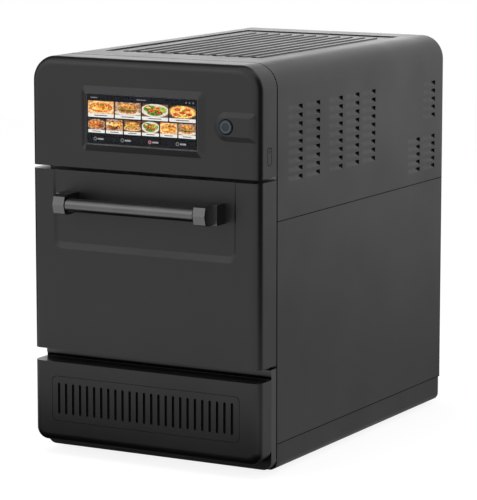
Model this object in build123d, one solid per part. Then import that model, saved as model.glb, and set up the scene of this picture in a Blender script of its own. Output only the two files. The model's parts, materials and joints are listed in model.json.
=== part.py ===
from build123d import *
import math
import os

# Countertop speed oven with a drop-down door, in millimetres.
# Pieces are drawn with X to the right, Y = 0 on the front plane, +Y to the rear and Z = 0 at the
# lower edge of the base. Export moves them so that the origin is the middle of the footprint.

# Overall body, as a stack of front pieces from the base up
WIDTH = 388.0
DEPTH = 621.5
COVER_LOW = 16.0
COVER_HEIGHT = 123.0
SILL_GAP = 19.5
DOOR_HEIGHT = 272.8
FASCIA_GAP = 5.4
FASCIA_HEIGHT = 163.3
UPPER_HEIGHT = 230.0
SHEET = 1.5
CORNER_R = 37.0
SEAM = 0.8
SEAT = 0.3
OVERRUN = 2.0
RUNNING_FIT = 0.06

HALF = WIDTH / 2
COVER_HIGH = COVER_LOW + COVER_HEIGHT
DOOR_LOW = COVER_HIGH + SILL_GAP
DOOR_HIGH = DOOR_LOW + DOOR_HEIGHT
FASCIA_LOW = DOOR_HIGH + FASCIA_GAP
HEIGHT = FASCIA_LOW + FASCIA_HEIGHT
MID_SEAM = HEIGHT - UPPER_HEIGHT

# Moulded front layer, and the gap behind it
FRONT_DEPTH = 53.3
BODY_GAP = 1.7
SKIN = 2.5
EDGE_R = 12.6
SPIGOT_INSET = 4.0
SPIGOT_WALL = 3.0

BODY_FRONT = FRONT_DEPTH + BODY_GAP

# Base pan and rubber feet
BASE_HEIGHT = 39.3
BASE_SET_IN = 5.0
BASE_R = 12.0
FOOT_R = 16.0
FOOT_HEIGHT = 5.0
FOOT_SIDE = 44.0
FOOT_FRONT_GAP = 70.0
FOOT_REAR_GAP = 56.5
FOOT_SCREW_R = 2.5
FOOT_SCREW_LENGTH = 9.0
FOOT_SCREW_HEAD_R = 5.0
FOOT_SCREW_HEAD = 2.5

BODY_BASE = BASE_HEIGHT + SEAM
FOOT_X = HALF - FOOT_SIDE
FOOT_FRONT_Y = BODY_FRONT + FOOT_FRONT_GAP
FOOT_REAR_Y = DEPTH - FOOT_REAR_GAP

# Sill frame between the lower cover and the body
SILL_DEPTH = 15.3
SILL_LOW = 3.0
SILL_TOP_GAP = 4.5
SILL_R = 14.0
SILL_WALL = 2.0
SILL_STRIP = 10.0
SILL_STEP = 1.2
SILL_STRIP_R = 0.9

SILL_FRONT = FRONT_DEPTH - SILL_DEPTH
SILL_HIGH = DOOR_LOW - SILL_TOP_GAP
SILL_STRIP_FRONT = SILL_FRONT - SILL_STEP

# Front frame plate of the body
FRAME_PLATE = 2.0
FRAME_SERVICE_SIDE = 74.0
FRAME_SERVICE_DROP = 45.0
FRAME_SERVICE_HEIGHT = 85.0
FRAME_SERVICE_R = 12.0

FRAME_REAR = BODY_FRONT + FRAME_PLATE
PANEL_HALF = HALF - SHEET - SEAT

# Folded edges of the side panels and the upper cover
FLANGE = 12.0

# Louvres lanced inward along their lower edge: two groups of columns in front, one at the rear
LOUVRE_LENGTH = 44.0
LOUVRE_OPEN = 7.5
LOUVRE_INWARD = 4.8
LOUVRE_TAB = 1.2
LOUVRE_COLUMN_PITCH = 55.8
LOUVRE_FRONT_GAP = 34.0
LOUVRE_GROUP_STEP = 130.3
LOUVRE_REAR_GAP = 73.0
LOUVRE_FRONT_COLUMNS = 2
LOUVRE_MIDDLE_COLUMNS = 3
LOUVRE_REAR_COLUMNS = 2
LOUVRE_ROWS = 9
LOUVRE_REAR_ROWS = 5
LOUVRE_FRONT_SHARE = (0.237, 0.687)
LOUVRE_REAR_UPPER_SHARE = (0.440, 0.665)
LOUVRE_REAR_LOWER_SHARE = (0.081, 0.289)

# Ribbed vent plate in the top
VENT_SIDE = 55.0
VENT_FRONT_GAP = 65.0
VENT_REAR_GAP = 49.5
VENT_R = 4.0
VENT_LIP = 9.0
RIB_COUNT = 11
RIB_SIDE = 28.65
RIB_SHIFT = 3.0
RIB_WIDTH = 10.0
RIB_TOP_WIDTH = 7.6
RIB_FRONT_GAP = 10.0
RIB_REAR_GAP = 37.0
RIB_METAL = 0.8
AIR_GUIDE_GAP = 6.0

VENT_HALF = HALF - VENT_SIDE
VENT_FRONT = BODY_FRONT + VENT_FRONT_GAP
VENT_REAR = DEPTH - VENT_REAR_GAP
RIB_PITCH = 2 * (VENT_HALF - RIB_SIDE) / (RIB_COUNT - 1)
RIB_FRONT = VENT_FRONT + RIB_FRONT_GAP
RIB_REAR = VENT_REAR - RIB_REAR_GAP

# Rear panel, its screws and the cable gland
REAR_FIELD_SIDE = 84.0
REAR_FIELD_DROP = 52.0
REAR_SLOT_COUNT = 9
REAR_SLOT_PITCH = 12.0
REAR_SLOT_HEIGHT = 5.0
REAR_SLOT_BRIDGE = 14.0
GLAND_SIDE = 54.0
GLAND_Z = 90.0
GLAND_R = 11.0
GLAND_NUT_R = 15.0
GLAND_NUT = 5.0
GLAND_LENGTH = 12.0
GLAND_BORE_R = 5.0
REAR_SCREW_R = 3.6
REAR_SCREW_HEAD = 2.0
REAR_SCREW_SHANK_R = 2.0
REAR_SCREW_INSET = 6.5
REAR_SCREW_ROWS_SHARE = (0.14, 0.5, 0.86)

REAR_PANEL_FRONT = DEPTH - 2 * SHEET
REAR_PANEL_REAR = REAR_PANEL_FRONT + SHEET
BODY_REAR = REAR_PANEL_REAR + GLAND_NUT + GLAND_LENGTH
GLAND_X = GLAND_SIDE - HALF

# Screen
BEZEL_SIDE = 89.2
BEZEL_TOP_MARGIN = 40.4
BEZEL_LOW_MARGIN = 26.3
BEZEL_R = 8.0
BEZEL_BEVEL_X = 8.8
BEZEL_BEVEL_Z = 9.5
BEZEL_FRONT_R = 3.0
BEZEL_RISE = 5.0
BEZEL_LAND = 1.4
GLASS_THICKNESS = 2.0
GLASS_DROP = 0.6
MODULE_THICKNESS = 11.0
MODULE_MARGIN = 4.0
BOARD_THICKNESS = 1.6
BOARD_STANDOFF = 6.0
BOARD_MARGIN = 10.0

BEZEL_HALF = HALF - BEZEL_SIDE
BEZEL_HALF_HEIGHT = (FASCIA_HEIGHT - BEZEL_TOP_MARGIN - BEZEL_LOW_MARGIN) / 2
SCREEN_Z = FASCIA_LOW + BEZEL_LOW_MARGIN + BEZEL_HALF_HEIGHT
BEZEL_FRONT_HALF = BEZEL_HALF - BEZEL_BEVEL_X
BEZEL_FRONT_HALF_HEIGHT = BEZEL_HALF_HEIGHT - BEZEL_BEVEL_Z
GLASS_HALF = BEZEL_FRONT_HALF - BEZEL_LAND
GLASS_HALF_HEIGHT = BEZEL_FRONT_HALF_HEIGHT - BEZEL_LAND
GLASS_FRONT = GLASS_DROP - BEZEL_RISE
MODULE_FRONT = GLASS_FRONT + GLASS_THICKNESS + SEAT
MODULE_REAR = MODULE_FRONT + MODULE_THICKNESS

# Button and its raised platform
BUTTON_SIDE = 52.3
BUTTON_R = 10.3
BUTTON_GAP = 0.5
BUTTON_RISE = 1.8
BUTTON_TRAVEL = 2.0
BUTTON_STEM_R = 3.0
BUTTON_STEM = 8.0
BUTTON_FLANGE = 1.4
BUTTON_FLANGE_RIM = 1.2
PLATFORM_FOOT_R = 21.5
PLATFORM_FACE_R = 13.8
PLATFORM_RISE = 4.0
SWITCH_SIZE = 14.0
SWITCH_DEPTH = 12.0
SWITCH_SLEEVE = 3.0
SWITCH_SLEEVE_WALL = 1.5

BUTTON_X = HALF - BUTTON_SIDE
BUTTON_FRONT = -PLATFORM_RISE - BUTTON_RISE

# Service port and its cover on the right side of the fascia
PORT_FRONT = 24.8
PORT_LENGTH = 12.0
PORT_LIFT = 18.6
PORT_HEIGHT = 24.2
PORT_DEPTH = 2.2
PORT_PAD = 5.0
PORT_PAD_MARGIN = 4.0
PORT_COVER_GAP = 0.3
PORT_SOCKET_HALF = 3.2
PORT_SOCKET_HALF_HEIGHT = 7.0
PORT_SOCKET_LENGTH = 14.0

PORT_LOW = FASCIA_LOW + PORT_LIFT

# Lower cover and the air filter
COVER_R = 19.0
GRILLE_SIDE = 33.0
GRILLE_LOW_MARGIN = 33.0
GRILLE_TOP_MARGIN = 22.0
GRILLE_R = 8.0
GRILLE_GAP = 0.6
GRILLE_FACE = 2.5
GRILLE_RIM = 9.0
GRILLE_RIM_WALL = 1.8
GRILLE_RIM_INSET = 3.0
GRILLE_LEDGE = 9.0
SLOT_COUNT = 25
SLOT_SIDE = 11.85
SLOT_WIDTH = 4.2
SLOT_LOW_MARGIN = 10.9
SLOT_TOP_MARGIN = 9.8
FILTER_THICKNESS = 5.0

GRILLE_HALF = HALF - GRILLE_SIDE
GRILLE_LOW = COVER_LOW + GRILLE_LOW_MARGIN
GRILLE_HIGH = COVER_HIGH - GRILLE_TOP_MARGIN
SLOT_HALF_SPAN = GRILLE_HALF - SLOT_SIDE
SLOT_PITCH = 2 * SLOT_HALF_SPAN / (SLOT_COUNT - 1)

# Cavity, its ledges and the pieces in it
CAVITY_SIDE = 42.0
CAVITY_LIFT = 27.5
CAVITY_DROP = 39.3
CAVITY_BEHIND = 226.5
CAVITY_R = 12.0
CAVITY_SHEET = 1.5
JET_PLATE_DROP = 13.0
JET_PLATE_SHEET = 1.5
JET_RIM = 11.2
JET_COLUMNS = 5
JET_ROWS = 5
JET_MARGIN = 40.0
JET_R = 7.0
RETURN_RIM = 12.0
RETURN_HOLE_R = 6.0
RETURN_HOLE_PITCH = 20.0
RETURN_SHEET = 1.2
COOK_PLATE_MARGIN = 8.0
COOK_PLATE_THICKNESS = 6.0
COOK_PLATE_R = 6.0
RACK_WIRE_R = 2.0
RACK_FRAME_R = 2.8
RACK_SIDE = 7.0
RACK_END_GAP = 11.0
RACK_WIRES = 9
RAIL_LIFT = 22.0
RAIL_HEIGHT = 8.0
RAIL_WIDTH = 5.0
WOOL_THICKNESS = 26.0
WOOL_TOP = 24.0
WOOL_REAR = 26.0

CAVITY_HALF = HALF - CAVITY_SIDE
CAVITY_LOW = DOOR_LOW + CAVITY_LIFT
CAVITY_HIGH = DOOR_HIGH - CAVITY_DROP
CAVITY_REAR = DEPTH - CAVITY_BEHIND
CAVITY_SEAT = CAVITY_REAR + CAVITY_SHEET
RACK_HALF = CAVITY_HALF - RACK_SIDE
RACK_FRONT_Y = BODY_FRONT + RACK_END_GAP
RACK_REAR_Y = CAVITY_REAR - RACK_END_GAP
RAIL_Z = CAVITY_LOW + RAIL_LIFT

# Exhaust above the fan
EXHAUST_SIDE = 30.0
EXHAUST_DROP_SHARE = 0.107
EXHAUST_HALF = 24.0
EXHAUST_HEIGHT_SHARE = 0.136
EXHAUST_SHEET = 1.2
EXHAUST_SLOTS = 5
EXHAUST_SLOT_WIDTH = 4.5
CATALYST_GAP = 7.5
CATALYST_LENGTH = 40.0
CATALYST_COLUMNS = 6
CATALYST_ROWS = 3
CATALYST_WEB = 1.4

EXHAUST_X = CAVITY_HALF - EXHAUST_SIDE
EXHAUST_Z = CAVITY_HIGH - EXHAUST_DROP_SHARE * (CAVITY_HIGH - CAVITY_LOW)
EXHAUST_HALF_HEIGHT = EXHAUST_HEIGHT_SHARE * (CAVITY_HIGH - CAVITY_LOW) / 2

# Convection fan behind the cavity
FAN_CASE_LIFT = 4.0
FAN_CASE_TOP_GAP = 6.0
FAN_CASE_DEPTH = 40.0
FAN_CASE_SHEET = 1.2
FAN_OPENING_SHARE = 0.75
FAN_DISC = 2.0
FAN_BLADE_LENGTH = 26.0
FAN_BLADES = 12
FAN_BLADE_SHEET = 1.6
FAN_BLADE_ROOT = 14.0
FAN_BLADE_SWEEP = 20.0
FAN_FRONT_GAP = 5.0
FAN_HUB_R = 12.0
SHAFT_R = 5.0
MOTOR_R = 34.0
MOTOR_LENGTH = 62.0
MOTOR_END_R = 6.0
MOTOR_BOSS_R = 14.0
MOTOR_FOOT_HALF = 48.0
MOTOR_FOOT_HALF_HEIGHT = 20.0
MOTOR_FOOT_R = 5.0
HEATER_SHARE = 0.8625
FAN_SHARE = 0.675
HEATER_WIRE_R = 3.5
HEATER_TAIL_R = 2.5
HEATER_BEHIND = 20.0
HEATER_TAIL_X = 18.0
HEATER_TAIL = 12.0
PROBE_SIDE = 42.0
PROBE_R = 2.5
PROBE_LENGTH = 46.0
PROBE_HEAD_R = 6.0
PROBE_HEAD = 5.0

FAN_CASE_LOW = CAVITY_LOW + FAN_CASE_LIFT
FAN_CASE_HIGH = EXHAUST_Z - EXHAUST_HALF_HEIGHT - FAN_CASE_TOP_GAP
FAN_CASE_HALF = (FAN_CASE_HIGH - FAN_CASE_LOW) / 2
FAN_Z = FAN_CASE_LOW + FAN_CASE_HALF
FAN_OPENING_R = FAN_OPENING_SHARE * FAN_CASE_HALF
HEATER_R = HEATER_SHARE * FAN_CASE_HALF
HEATER_TAIL_Z = FAN_Z - math.sqrt(HEATER_R ** 2 - HEATER_TAIL_X ** 2)
FAN_R = FAN_SHARE * FAN_CASE_HALF
FAN_BLADE_ROOT_R = FAN_HUB_R + FAN_BLADE_ROOT
CASE_REAR = CAVITY_SEAT + FAN_CASE_DEPTH
WOOL_BACK = CASE_REAR + WOOL_REAR
CATALYST_FRONT = WOOL_BACK + CATALYST_GAP
PROBE_X = PROBE_SIDE - CAVITY_HALF
PROBE_Z = EXHAUST_Z

# Waveguide and magnetron above the cavity
GUIDE_HALF = 42.0
GUIDE_FRONT_GAP = 115.0
GUIDE_DEPTH = 46.0
GUIDE_LENGTH = 165.0
GUIDE_RISE = 76.0
GUIDE_HEIGHT = 42.0
GUIDE_SHEET = 1.5
MAGNETRON_HALF = 38.0
MAGNETRON_DEPTH = 88.0
MAGNETRON_HEIGHT = 92.0
MAGNETRON_REAR_INSET = 4.0
MAGNETRON_FINS = 7
MAGNETRON_FIN = 1.5
MAGNETRON_CORE_R = 26.0
MAGNETRON_BRACKET = 2.0
ANTENNA_R = 8.0
ANTENNA_LENGTH = 18.0

GUIDE_FRONT = BODY_FRONT + GUIDE_FRONT_GAP
GUIDE_TOP = CAVITY_HIGH + GUIDE_RISE
GUIDE_MIDDLE = GUIDE_FRONT + GUIDE_DEPTH / 2
MAGNETRON_Y = GUIDE_FRONT + GUIDE_LENGTH - MAGNETRON_REAR_INSET - MAGNETRON_DEPTH / 2

# Door
DOOR_WALL = 2.0
RECESS_SIDE = 38.3
RECESS_DROP = 118.6
RECESS_LEAN = 10.4
RECESS_DRAFT = 5.5
RECESS_R = 14.0
RECESS_FLOOR_R = 9.0
RECESS_DEPTH_LOW = 3.6
RECESS_DEPTH_HIGH = 1.5
INNER_PANEL_DEPTH = 7.0
INNER_PANEL_SHEET = 1.2
INNER_PRESSING = 3.0
INNER_PRESSING_MARGIN = 13.0
INNER_PRESSING_R = 14.0
GASKET_WIDTH = 7.0
GASKET_MARGIN = 14.0
GASKET_R = 10.0
DOOR_WOOL_SIDE = 36.0
DOOR_WOOL_LIFT = 21.5
DOOR_WOOL_DROP = 7.3

RECESS_HALF = HALF - RECESS_SIDE
RECESS_LOW = DOOR_HIGH - RECESS_DROP
RECESS_FLOOR_LOW = RECESS_LOW + RECESS_LEAN

# Handle
HANDLE_REACH = 45.0
HANDLE_DROP = 46.3
BAR_R = 10.0
BAR_BEHIND = 11.0
BAR_SPIGOT_R = 7.0
BAR_SPIGOT = 10.0
HEAD_SIDE = 65.2
HEAD_WIDTH = 19.3
HEAD_DEPTH = 23.5
HEAD_HALF_HEIGHT = 15.0
HEAD_SHOULDER = 12.0
HEAD_FACET = 3.5
HEAD_FACET_HALF = 12.5
STANDOFF_STEP = 7.8
STANDOFF_INSET = 2.5
HANDLE_SCREW_R = 2.5
HANDLE_SCREW_HEAD_R = 4.5
HANDLE_SCREW_HEAD = 3.0
HANDLE_SCREW_LENGTH = 16.0

HANDLE_Z = DOOR_HIGH - HANDLE_DROP
HEAD_FRONT = -HANDLE_REACH
HEAD_STEP = HEAD_FRONT + HEAD_DEPTH
BAR_Y = HEAD_FRONT + BAR_BEHIND
HEAD_HALF = HALF - HEAD_SIDE
BAR_HALF = HEAD_HALF - HEAD_WIDTH
STANDOFF_OUTER = HEAD_HALF + STANDOFF_STEP
STANDOFF_INNER = BAR_HALF + STANDOFF_INSET
HANDLE_SCREW_X = (STANDOFF_INNER + STANDOFF_OUTER) / 2

# Door hinge
HINGE_Y = 14.0
HINGE_LIFT = 5.5
HINGE_SIDE = 17.0
PIN_R = 2.5
EAR_HALF = 4.0
EAR_R = 7.5
EAR_SIDE_GAP = 3.0
LUG_EAR = 4.0
LUG_SIDE_GAP = 3.2
LUG_TOP = 2.5
LUG_R = 2.0
LUG_RISE = 10.0
LUG_FRONT = 5.0
LUG_REAR = 34.0
BRACKET_PLATE = 2.5
BRACKET_HALF = 10.0
BRACKET_LENGTH = 11.0
ARM_SLOPE = 45.0
NOTCH_FRONT = 2.6
NOTCH_REAR = 42.0

HINGE_Z = DOOR_LOW + HINGE_LIFT
HINGE_X = HALF - HINGE_SIDE
BRACKET_HIGH = SILL_HIGH + BRACKET_PLATE
LUG_OUTER = HALF - DOOR_WALL - LUG_SIDE_GAP
LUG_INNER = 2 * HINGE_X - LUG_OUTER

# Cooling fans behind the filter
COOLER_HALF = 46.0
COOLER_SPACING = 32.0
COOLER_LIFT = 2.0
COOLER_DEPTH = 25.0
COOLER_BORE_R = 43.5
COOLER_TIP_GAP = 1.5
COOLER_HUB_R = 17.0
COOLER_BLADES = 7
COOLER_BLADE = 1.6
COOLER_BLADE_PITCH = 38.0
COOLER_CHORD_SHARE = 0.7
COOLER_SPOKES = 4
COOLER_SPOKE_WIDTH = 5.0
COOLER_SPOKE_DEPTH = 3.0
COOLER_R = 5.0

COOLER_X = COOLER_HALF + COOLER_SPACING / 2
COOLER_Z = BODY_BASE + COOLER_LIFT + COOLER_HALF
COOLER_ROTOR_R = COOLER_BORE_R - COOLER_TIP_GAP

# Power electronics on the base pan
INVERTER_SIDE = 44.0
INVERTER_MIDDLE_GAP = 10.0
INVERTER_FRONT_GAP = 95.0
INVERTER_DEPTH = 170.0
INVERTER_STANDOFF = 6.0
INVERTER_COIL_R = 17.0
HEATSINK_FINS = 9
HEATSINK_HEIGHT = 42.0
HEATSINK_BASE = 5.0
HEATSINK_FIN = 2.0
TRANSFORMER_SIDE = 64.0
TRANSFORMER_MIDDLE_GAP = 30.0
TRANSFORMER_DEPTH = 100.0
TRANSFORMER_HEIGHT = 84.0
TRANSFORMER_COIL_R = 12.0
TRANSFORMER_COIL_OVERHANG = 14.0
CAPACITOR_GAP = 40.0
CAPACITOR_R = 26.0
CAPACITOR_HEIGHT = 96.0
CAPACITOR_RIM_R = 3.0
CAPACITOR_TAB = 6.0
MAINS_SIDE = 24.0
MAINS_WIDTH = 70.0
MAINS_DEPTH = 115.0
MAINS_REAR_GAP = 76.5
MAINS_HEIGHT = 52.0
MAINS_R = 6.0
RELAY_GAP = 40.0
RELAY_WIDTH = 110.0
RELAY_DEPTH = 150.0
RELAY_REAR_GAP = 41.5
RELAY_SIZE = 22.0
RELAY_HEIGHT = 18.0
RELAY_COUNT = 4

INVERTER_X = (INVERTER_SIDE - HALF, -INVERTER_MIDDLE_GAP)
INVERTER_Y = (BODY_FRONT + INVERTER_FRONT_GAP, BODY_FRONT + INVERTER_FRONT_GAP + INVERTER_DEPTH)
TRANSFORMER_X = (TRANSFORMER_MIDDLE_GAP, HALF - TRANSFORMER_SIDE)
TRANSFORMER_Y = (INVERTER_Y[0], INVERTER_Y[0] + TRANSFORMER_DEPTH)
CAPACITOR_X = sum(TRANSFORMER_X) / 2
CAPACITOR_Y = TRANSFORMER_Y[1] + TRANSFORMER_COIL_OVERHANG + CAPACITOR_GAP + CAPACITOR_R
MAINS_X = (MAINS_SIDE - HALF, MAINS_SIDE - HALF + MAINS_WIDTH)
MAINS_Y = (DEPTH - MAINS_REAR_GAP - MAINS_DEPTH, DEPTH - MAINS_REAR_GAP)
RELAY_X = (MAINS_X[1] + RELAY_GAP, MAINS_X[1] + RELAY_GAP + RELAY_WIDTH)
RELAY_Y = (DEPTH - RELAY_REAR_GAP - RELAY_DEPTH, DEPTH - RELAY_REAR_GAP)

# The origin lies under the middle of the footprint
Y_MIDDLE = (HEAD_FRONT + BODY_REAR) / 2
SIDES = {"left": -1, "right": 1}


# Helpers

def box_between(x_pair, y_pair, z_pair):
    """Box that spans three pairs of coordinates."""
    pairs = (x_pair, y_pair, z_pair)
    sizes = [high - low for low, high in pairs]
    middle = [(low + high) / 2 for low, high in pairs]
    return Pos(*middle) * Box(*sizes)


def outline(half, z_low, z_high, r_low=0, r_high=0, x_middle=0):
    """Upright rectangle with its own lower and upper corner radii."""
    sketch = Pos(x_middle, (z_low + z_high) / 2) * Rectangle(2 * half, z_high - z_low)
    if r_low > 0:
        sketch = fillet(sketch.vertices().group_by(Axis.Y)[0], r_low)
    if r_high > 0:
        sketch = fillet(sketch.vertices().group_by(Axis.Y)[-1], r_high)
    return sketch


def cavity_outline(grow, radius):
    """Outline of the cavity, grown all round, with its own corner radius."""
    return outline(CAVITY_HALF + grow, CAVITY_LOW - grow, CAVITY_HIGH + grow, radius, radius)


def at_y(sketch, y):
    """Sketch stood up in the X-Z plane at y."""
    return Plane(origin=(0, y, 0), x_dir=(1, 0, 0), z_dir=(0, -1, 0)) * sketch


def prism_y(sketch, y_front, y_rear):
    """Upright sketch extruded from y_front to y_rear."""
    return extrude(at_y(sketch, y_rear), amount=y_rear - y_front)


def prism_x(sketch, x_low, x_high):
    """Side sketch in Y and Z extruded from x_low to x_high."""
    return extrude(Plane.YZ.offset(x_low) * sketch, amount=x_high - x_low)


def prism_z(sketch, z_low, z_high):
    """Plan sketch extruded from z_low to z_high."""
    return extrude(Plane.XY.offset(z_low) * sketch, amount=z_high - z_low)


def round_y(x, z, radius, y_front, y_rear):
    """Cylinder along Y."""
    return prism_y(Pos(x, z) * Circle(radius), y_front, y_rear)


def round_x(y, z, radius, x_low, x_high):
    """Cylinder along X."""
    return prism_x(Pos(y, z) * Circle(radius), x_low, x_high)


def mirrored(shape):
    """Copy on the other side of the middle plane."""
    return mirror(shape, about=Plane.YZ)


def moulded_block(half, z_pair, y_pair, r_low, r_high, edge_r):
    """Front block whose outer front edges are rounded, apart from the edges beside a gap."""
    z_low, z_high = z_pair
    body = prism_y(outline(half, z_low, z_high, r_low, r_high), *y_pair)
    rim = body.faces().sort_by(Axis.Y)[0].edges()
    if r_low == 0:
        rim = rim.filter_by(lambda edge: edge.center().Z > z_low + SEAT)
    if r_high == 0:
        rim = rim.filter_by(lambda edge: edge.center().Z < z_high - SEAT)
    return fillet(rim, edge_r)


def spigot_ring(half, z_pair, r_low, r_high, y_pair):
    """Locating rim just inside a front piece, which seats on what lies behind it."""
    z_low, z_high = z_pair
    inset = SPIGOT_INSET + SPIGOT_WALL
    outer = outline(
        half - SPIGOT_INSET, z_low + SPIGOT_INSET, z_high - SPIGOT_INSET,
        max(r_low - SPIGOT_INSET, 0), max(r_high - SPIGOT_INSET, 0),
    )
    inner = outline(
        half - inset, z_low + inset, z_high - inset, max(r_low - inset, 0), max(r_high - inset, 0),
    )
    return prism_y(outer - inner, *y_pair)


# Base pan, feet and sill

def base_profile(inset):
    """Section of the base pan across X, open at the top when inset."""
    top = BASE_HEIGHT + (OVERRUN if inset else 0)
    return outline(HALF - inset, inset, top, BASE_R - inset)


def base_pan():
    """Tray that carries the whole oven, with a rim that the side panels stand on."""
    rear = DEPTH - BASE_SET_IN
    tray = prism_y(base_profile(0), BODY_FRONT, rear)
    tray -= prism_y(base_profile(SHEET), BODY_FRONT + SHEET, rear - SHEET)
    for x in (-FOOT_X, FOOT_X):
        for y in (FOOT_FRONT_Y, FOOT_REAR_Y):
            tray -= prism_z(Pos(x, y) * Circle(FOOT_SCREW_R + SEAT), -OVERRUN, SHEET + OVERRUN)
    return tray


def rubber_feet():
    """Four round feet under the base."""
    feet = []
    for x in (-FOOT_X, FOOT_X):
        for y in (FOOT_FRONT_Y, FOOT_REAR_Y):
            foot = prism_z(Pos(x, y) * Circle(FOOT_R), -FOOT_HEIGHT, 0)
            foot = chamfer(foot.edges().sort_by(Axis.Z)[0], FOOT_HEIGHT / 4)
            hole = prism_z(Pos(x, y) * Circle(FOOT_SCREW_R + SEAT), -FOOT_HEIGHT - OVERRUN, OVERRUN)
            sink_r = FOOT_SCREW_HEAD_R + SEAT
            sink = prism_z(Pos(x, y) * Circle(sink_r), -FOOT_HEIGHT - OVERRUN, -FOOT_SCREW_HEAD / 2)
            feet.append(foot - hole - sink)
    return feet


def foot_screws():
    """Screw and washer-faced nut that hold each foot to the pan."""
    screws = []
    for x in (-FOOT_X, FOOT_X):
        for y in (FOOT_FRONT_Y, FOOT_REAR_Y):
            low = -FOOT_SCREW_HEAD / 2
            head = prism_z(Pos(x, y) * Circle(FOOT_SCREW_HEAD_R), low - FOOT_SCREW_HEAD, low)
            shank = prism_z(Pos(x, y) * Circle(FOOT_SCREW_R), low, low + FOOT_SCREW_LENGTH)
            nut = prism_z(
                Pos(x, y) * RegularPolygon(FOOT_SCREW_HEAD_R, 6), SHEET, SHEET + FOOT_SCREW_HEAD,
            )
            screws.append(head + shank + nut)
    return screws


def sill_frame():
    """Shallow frame behind the lower cover, with a raised strip that shows in the gap under the door."""
    z_pair = (SILL_LOW, SILL_HIGH)
    shell = prism_y(outline(HALF, *z_pair, SILL_R, 0), SILL_FRONT, FRONT_DEPTH)
    hollow = outline(
        HALF - SILL_WALL, SILL_LOW + SILL_WALL, SILL_HIGH - SILL_WALL, SILL_R - SILL_WALL, 0,
    )
    shell -= prism_y(hollow, SILL_FRONT + SILL_WALL, FRONT_DEPTH + OVERRUN)
    intake = outline(
        GRILLE_HALF - GRILLE_LEDGE, GRILLE_LOW + GRILLE_LEDGE / 2, GRILLE_HIGH - GRILLE_LEDGE / 2,
    )
    shell -= prism_y(intake, SILL_FRONT - OVERRUN, SILL_FRONT + SILL_WALL + OVERRUN)
    ring_pair = (SILL_FRONT + SILL_WALL, BODY_FRONT)
    inset = SILL_WALL
    ring = outline(HALF - inset, SILL_LOW + inset, SILL_HIGH - inset, SILL_R - inset, 0)
    wall = inset + SPIGOT_WALL
    ring -= outline(HALF - wall, SILL_LOW + wall, SILL_HIGH - wall, SILL_R - wall, 0)
    band = outline(HALF, SILL_HIGH - SILL_STRIP, SILL_HIGH)
    strip = prism_y(band, SILL_STRIP_FRONT, SILL_FRONT + SILL_WALL)
    front_edges = strip.edges().filter_by(Axis.X).group_by(Axis.Y)[0]
    strip = fillet(front_edges, SILL_STRIP_R)
    return shell + strip + prism_y(ring, *ring_pair)


def front_frame():
    """Stiff plate at the front of the body, with the cavity mouth and the fan openings."""
    plate = prism_y(
        outline(PANEL_HALF, BODY_BASE, HEIGHT - SHEET - SEAT, 0, CORNER_R - SHEET - SEAT),
        BODY_FRONT, FRAME_REAR,
    )
    through = (BODY_FRONT - OVERRUN, FRAME_REAR + OVERRUN)
    plate -= prism_y(cavity_outline(0, CAVITY_R), *through)
    top = HEIGHT - FRAME_SERVICE_DROP
    plate -= prism_y(
        outline(HALF - FRAME_SERVICE_SIDE, top - FRAME_SERVICE_HEIGHT, top, FRAME_SERVICE_R, FRAME_SERVICE_R),
        *through,
    )
    for x in (-COOLER_X, COOLER_X):
        plate -= round_y(x, COOLER_Z, COOLER_BORE_R, *through)
    return plate


# Outer covers

def louvre_block(front_y, columns, rows, share):
    """Front end and lower edge of each louvre in one block, spread between two heights."""
    low, high = share
    step = (high - low) / (rows - 1)
    places = []
    for column in range(columns):
        for row in range(rows):
            z = MID_SEAM + UPPER_HEIGHT * (low + row * step)
            places.append((front_y + column * LOUVRE_COLUMN_PITCH, z))
    return places


def louvre_places():
    """Places of all louvres in one side of the upper cover."""
    front = BODY_FRONT + LOUVRE_FRONT_GAP
    last = DEPTH - LOUVRE_REAR_GAP
    lower_front = last - (LOUVRE_REAR_COLUMNS - 1) * LOUVRE_COLUMN_PITCH
    return (
        louvre_block(front, LOUVRE_FRONT_COLUMNS, LOUVRE_ROWS, LOUVRE_FRONT_SHARE)
        + louvre_block(front + LOUVRE_GROUP_STEP, LOUVRE_MIDDLE_COLUMNS, LOUVRE_ROWS, LOUVRE_FRONT_SHARE)
        + louvre_block(last, 1, LOUVRE_REAR_ROWS, LOUVRE_REAR_UPPER_SHARE)
        + louvre_block(lower_front, LOUVRE_REAR_COLUMNS, LOUVRE_REAR_ROWS, LOUVRE_REAR_LOWER_SHARE)
    )


def louvre_tab(y, z):
    """Tab folded inward along the lower edge of its window, on the right side."""
    fold = HALF - SHEET
    tip = HALF - LOUVRE_INWARD
    section = Polyline(
        (HALF, z), (fold, z - SHEET), (fold - LOUVRE_TAB / 2, z), (tip - LOUVRE_TAB, z + LOUVRE_OPEN),
        (tip, z + LOUVRE_OPEN), close=True,
    )
    return prism_y(make_face(section), y, y + LOUVRE_LENGTH)


def vent_outline(grow):
    """Plan of the sunk field in the top, grown all round."""
    length = VENT_REAR - VENT_FRONT
    middle = Pos(0, (VENT_FRONT + VENT_REAR) / 2)
    return middle * RectangleRounded(2 * (VENT_HALF + grow), length + 2 * grow, VENT_R + grow / 2)


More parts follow.
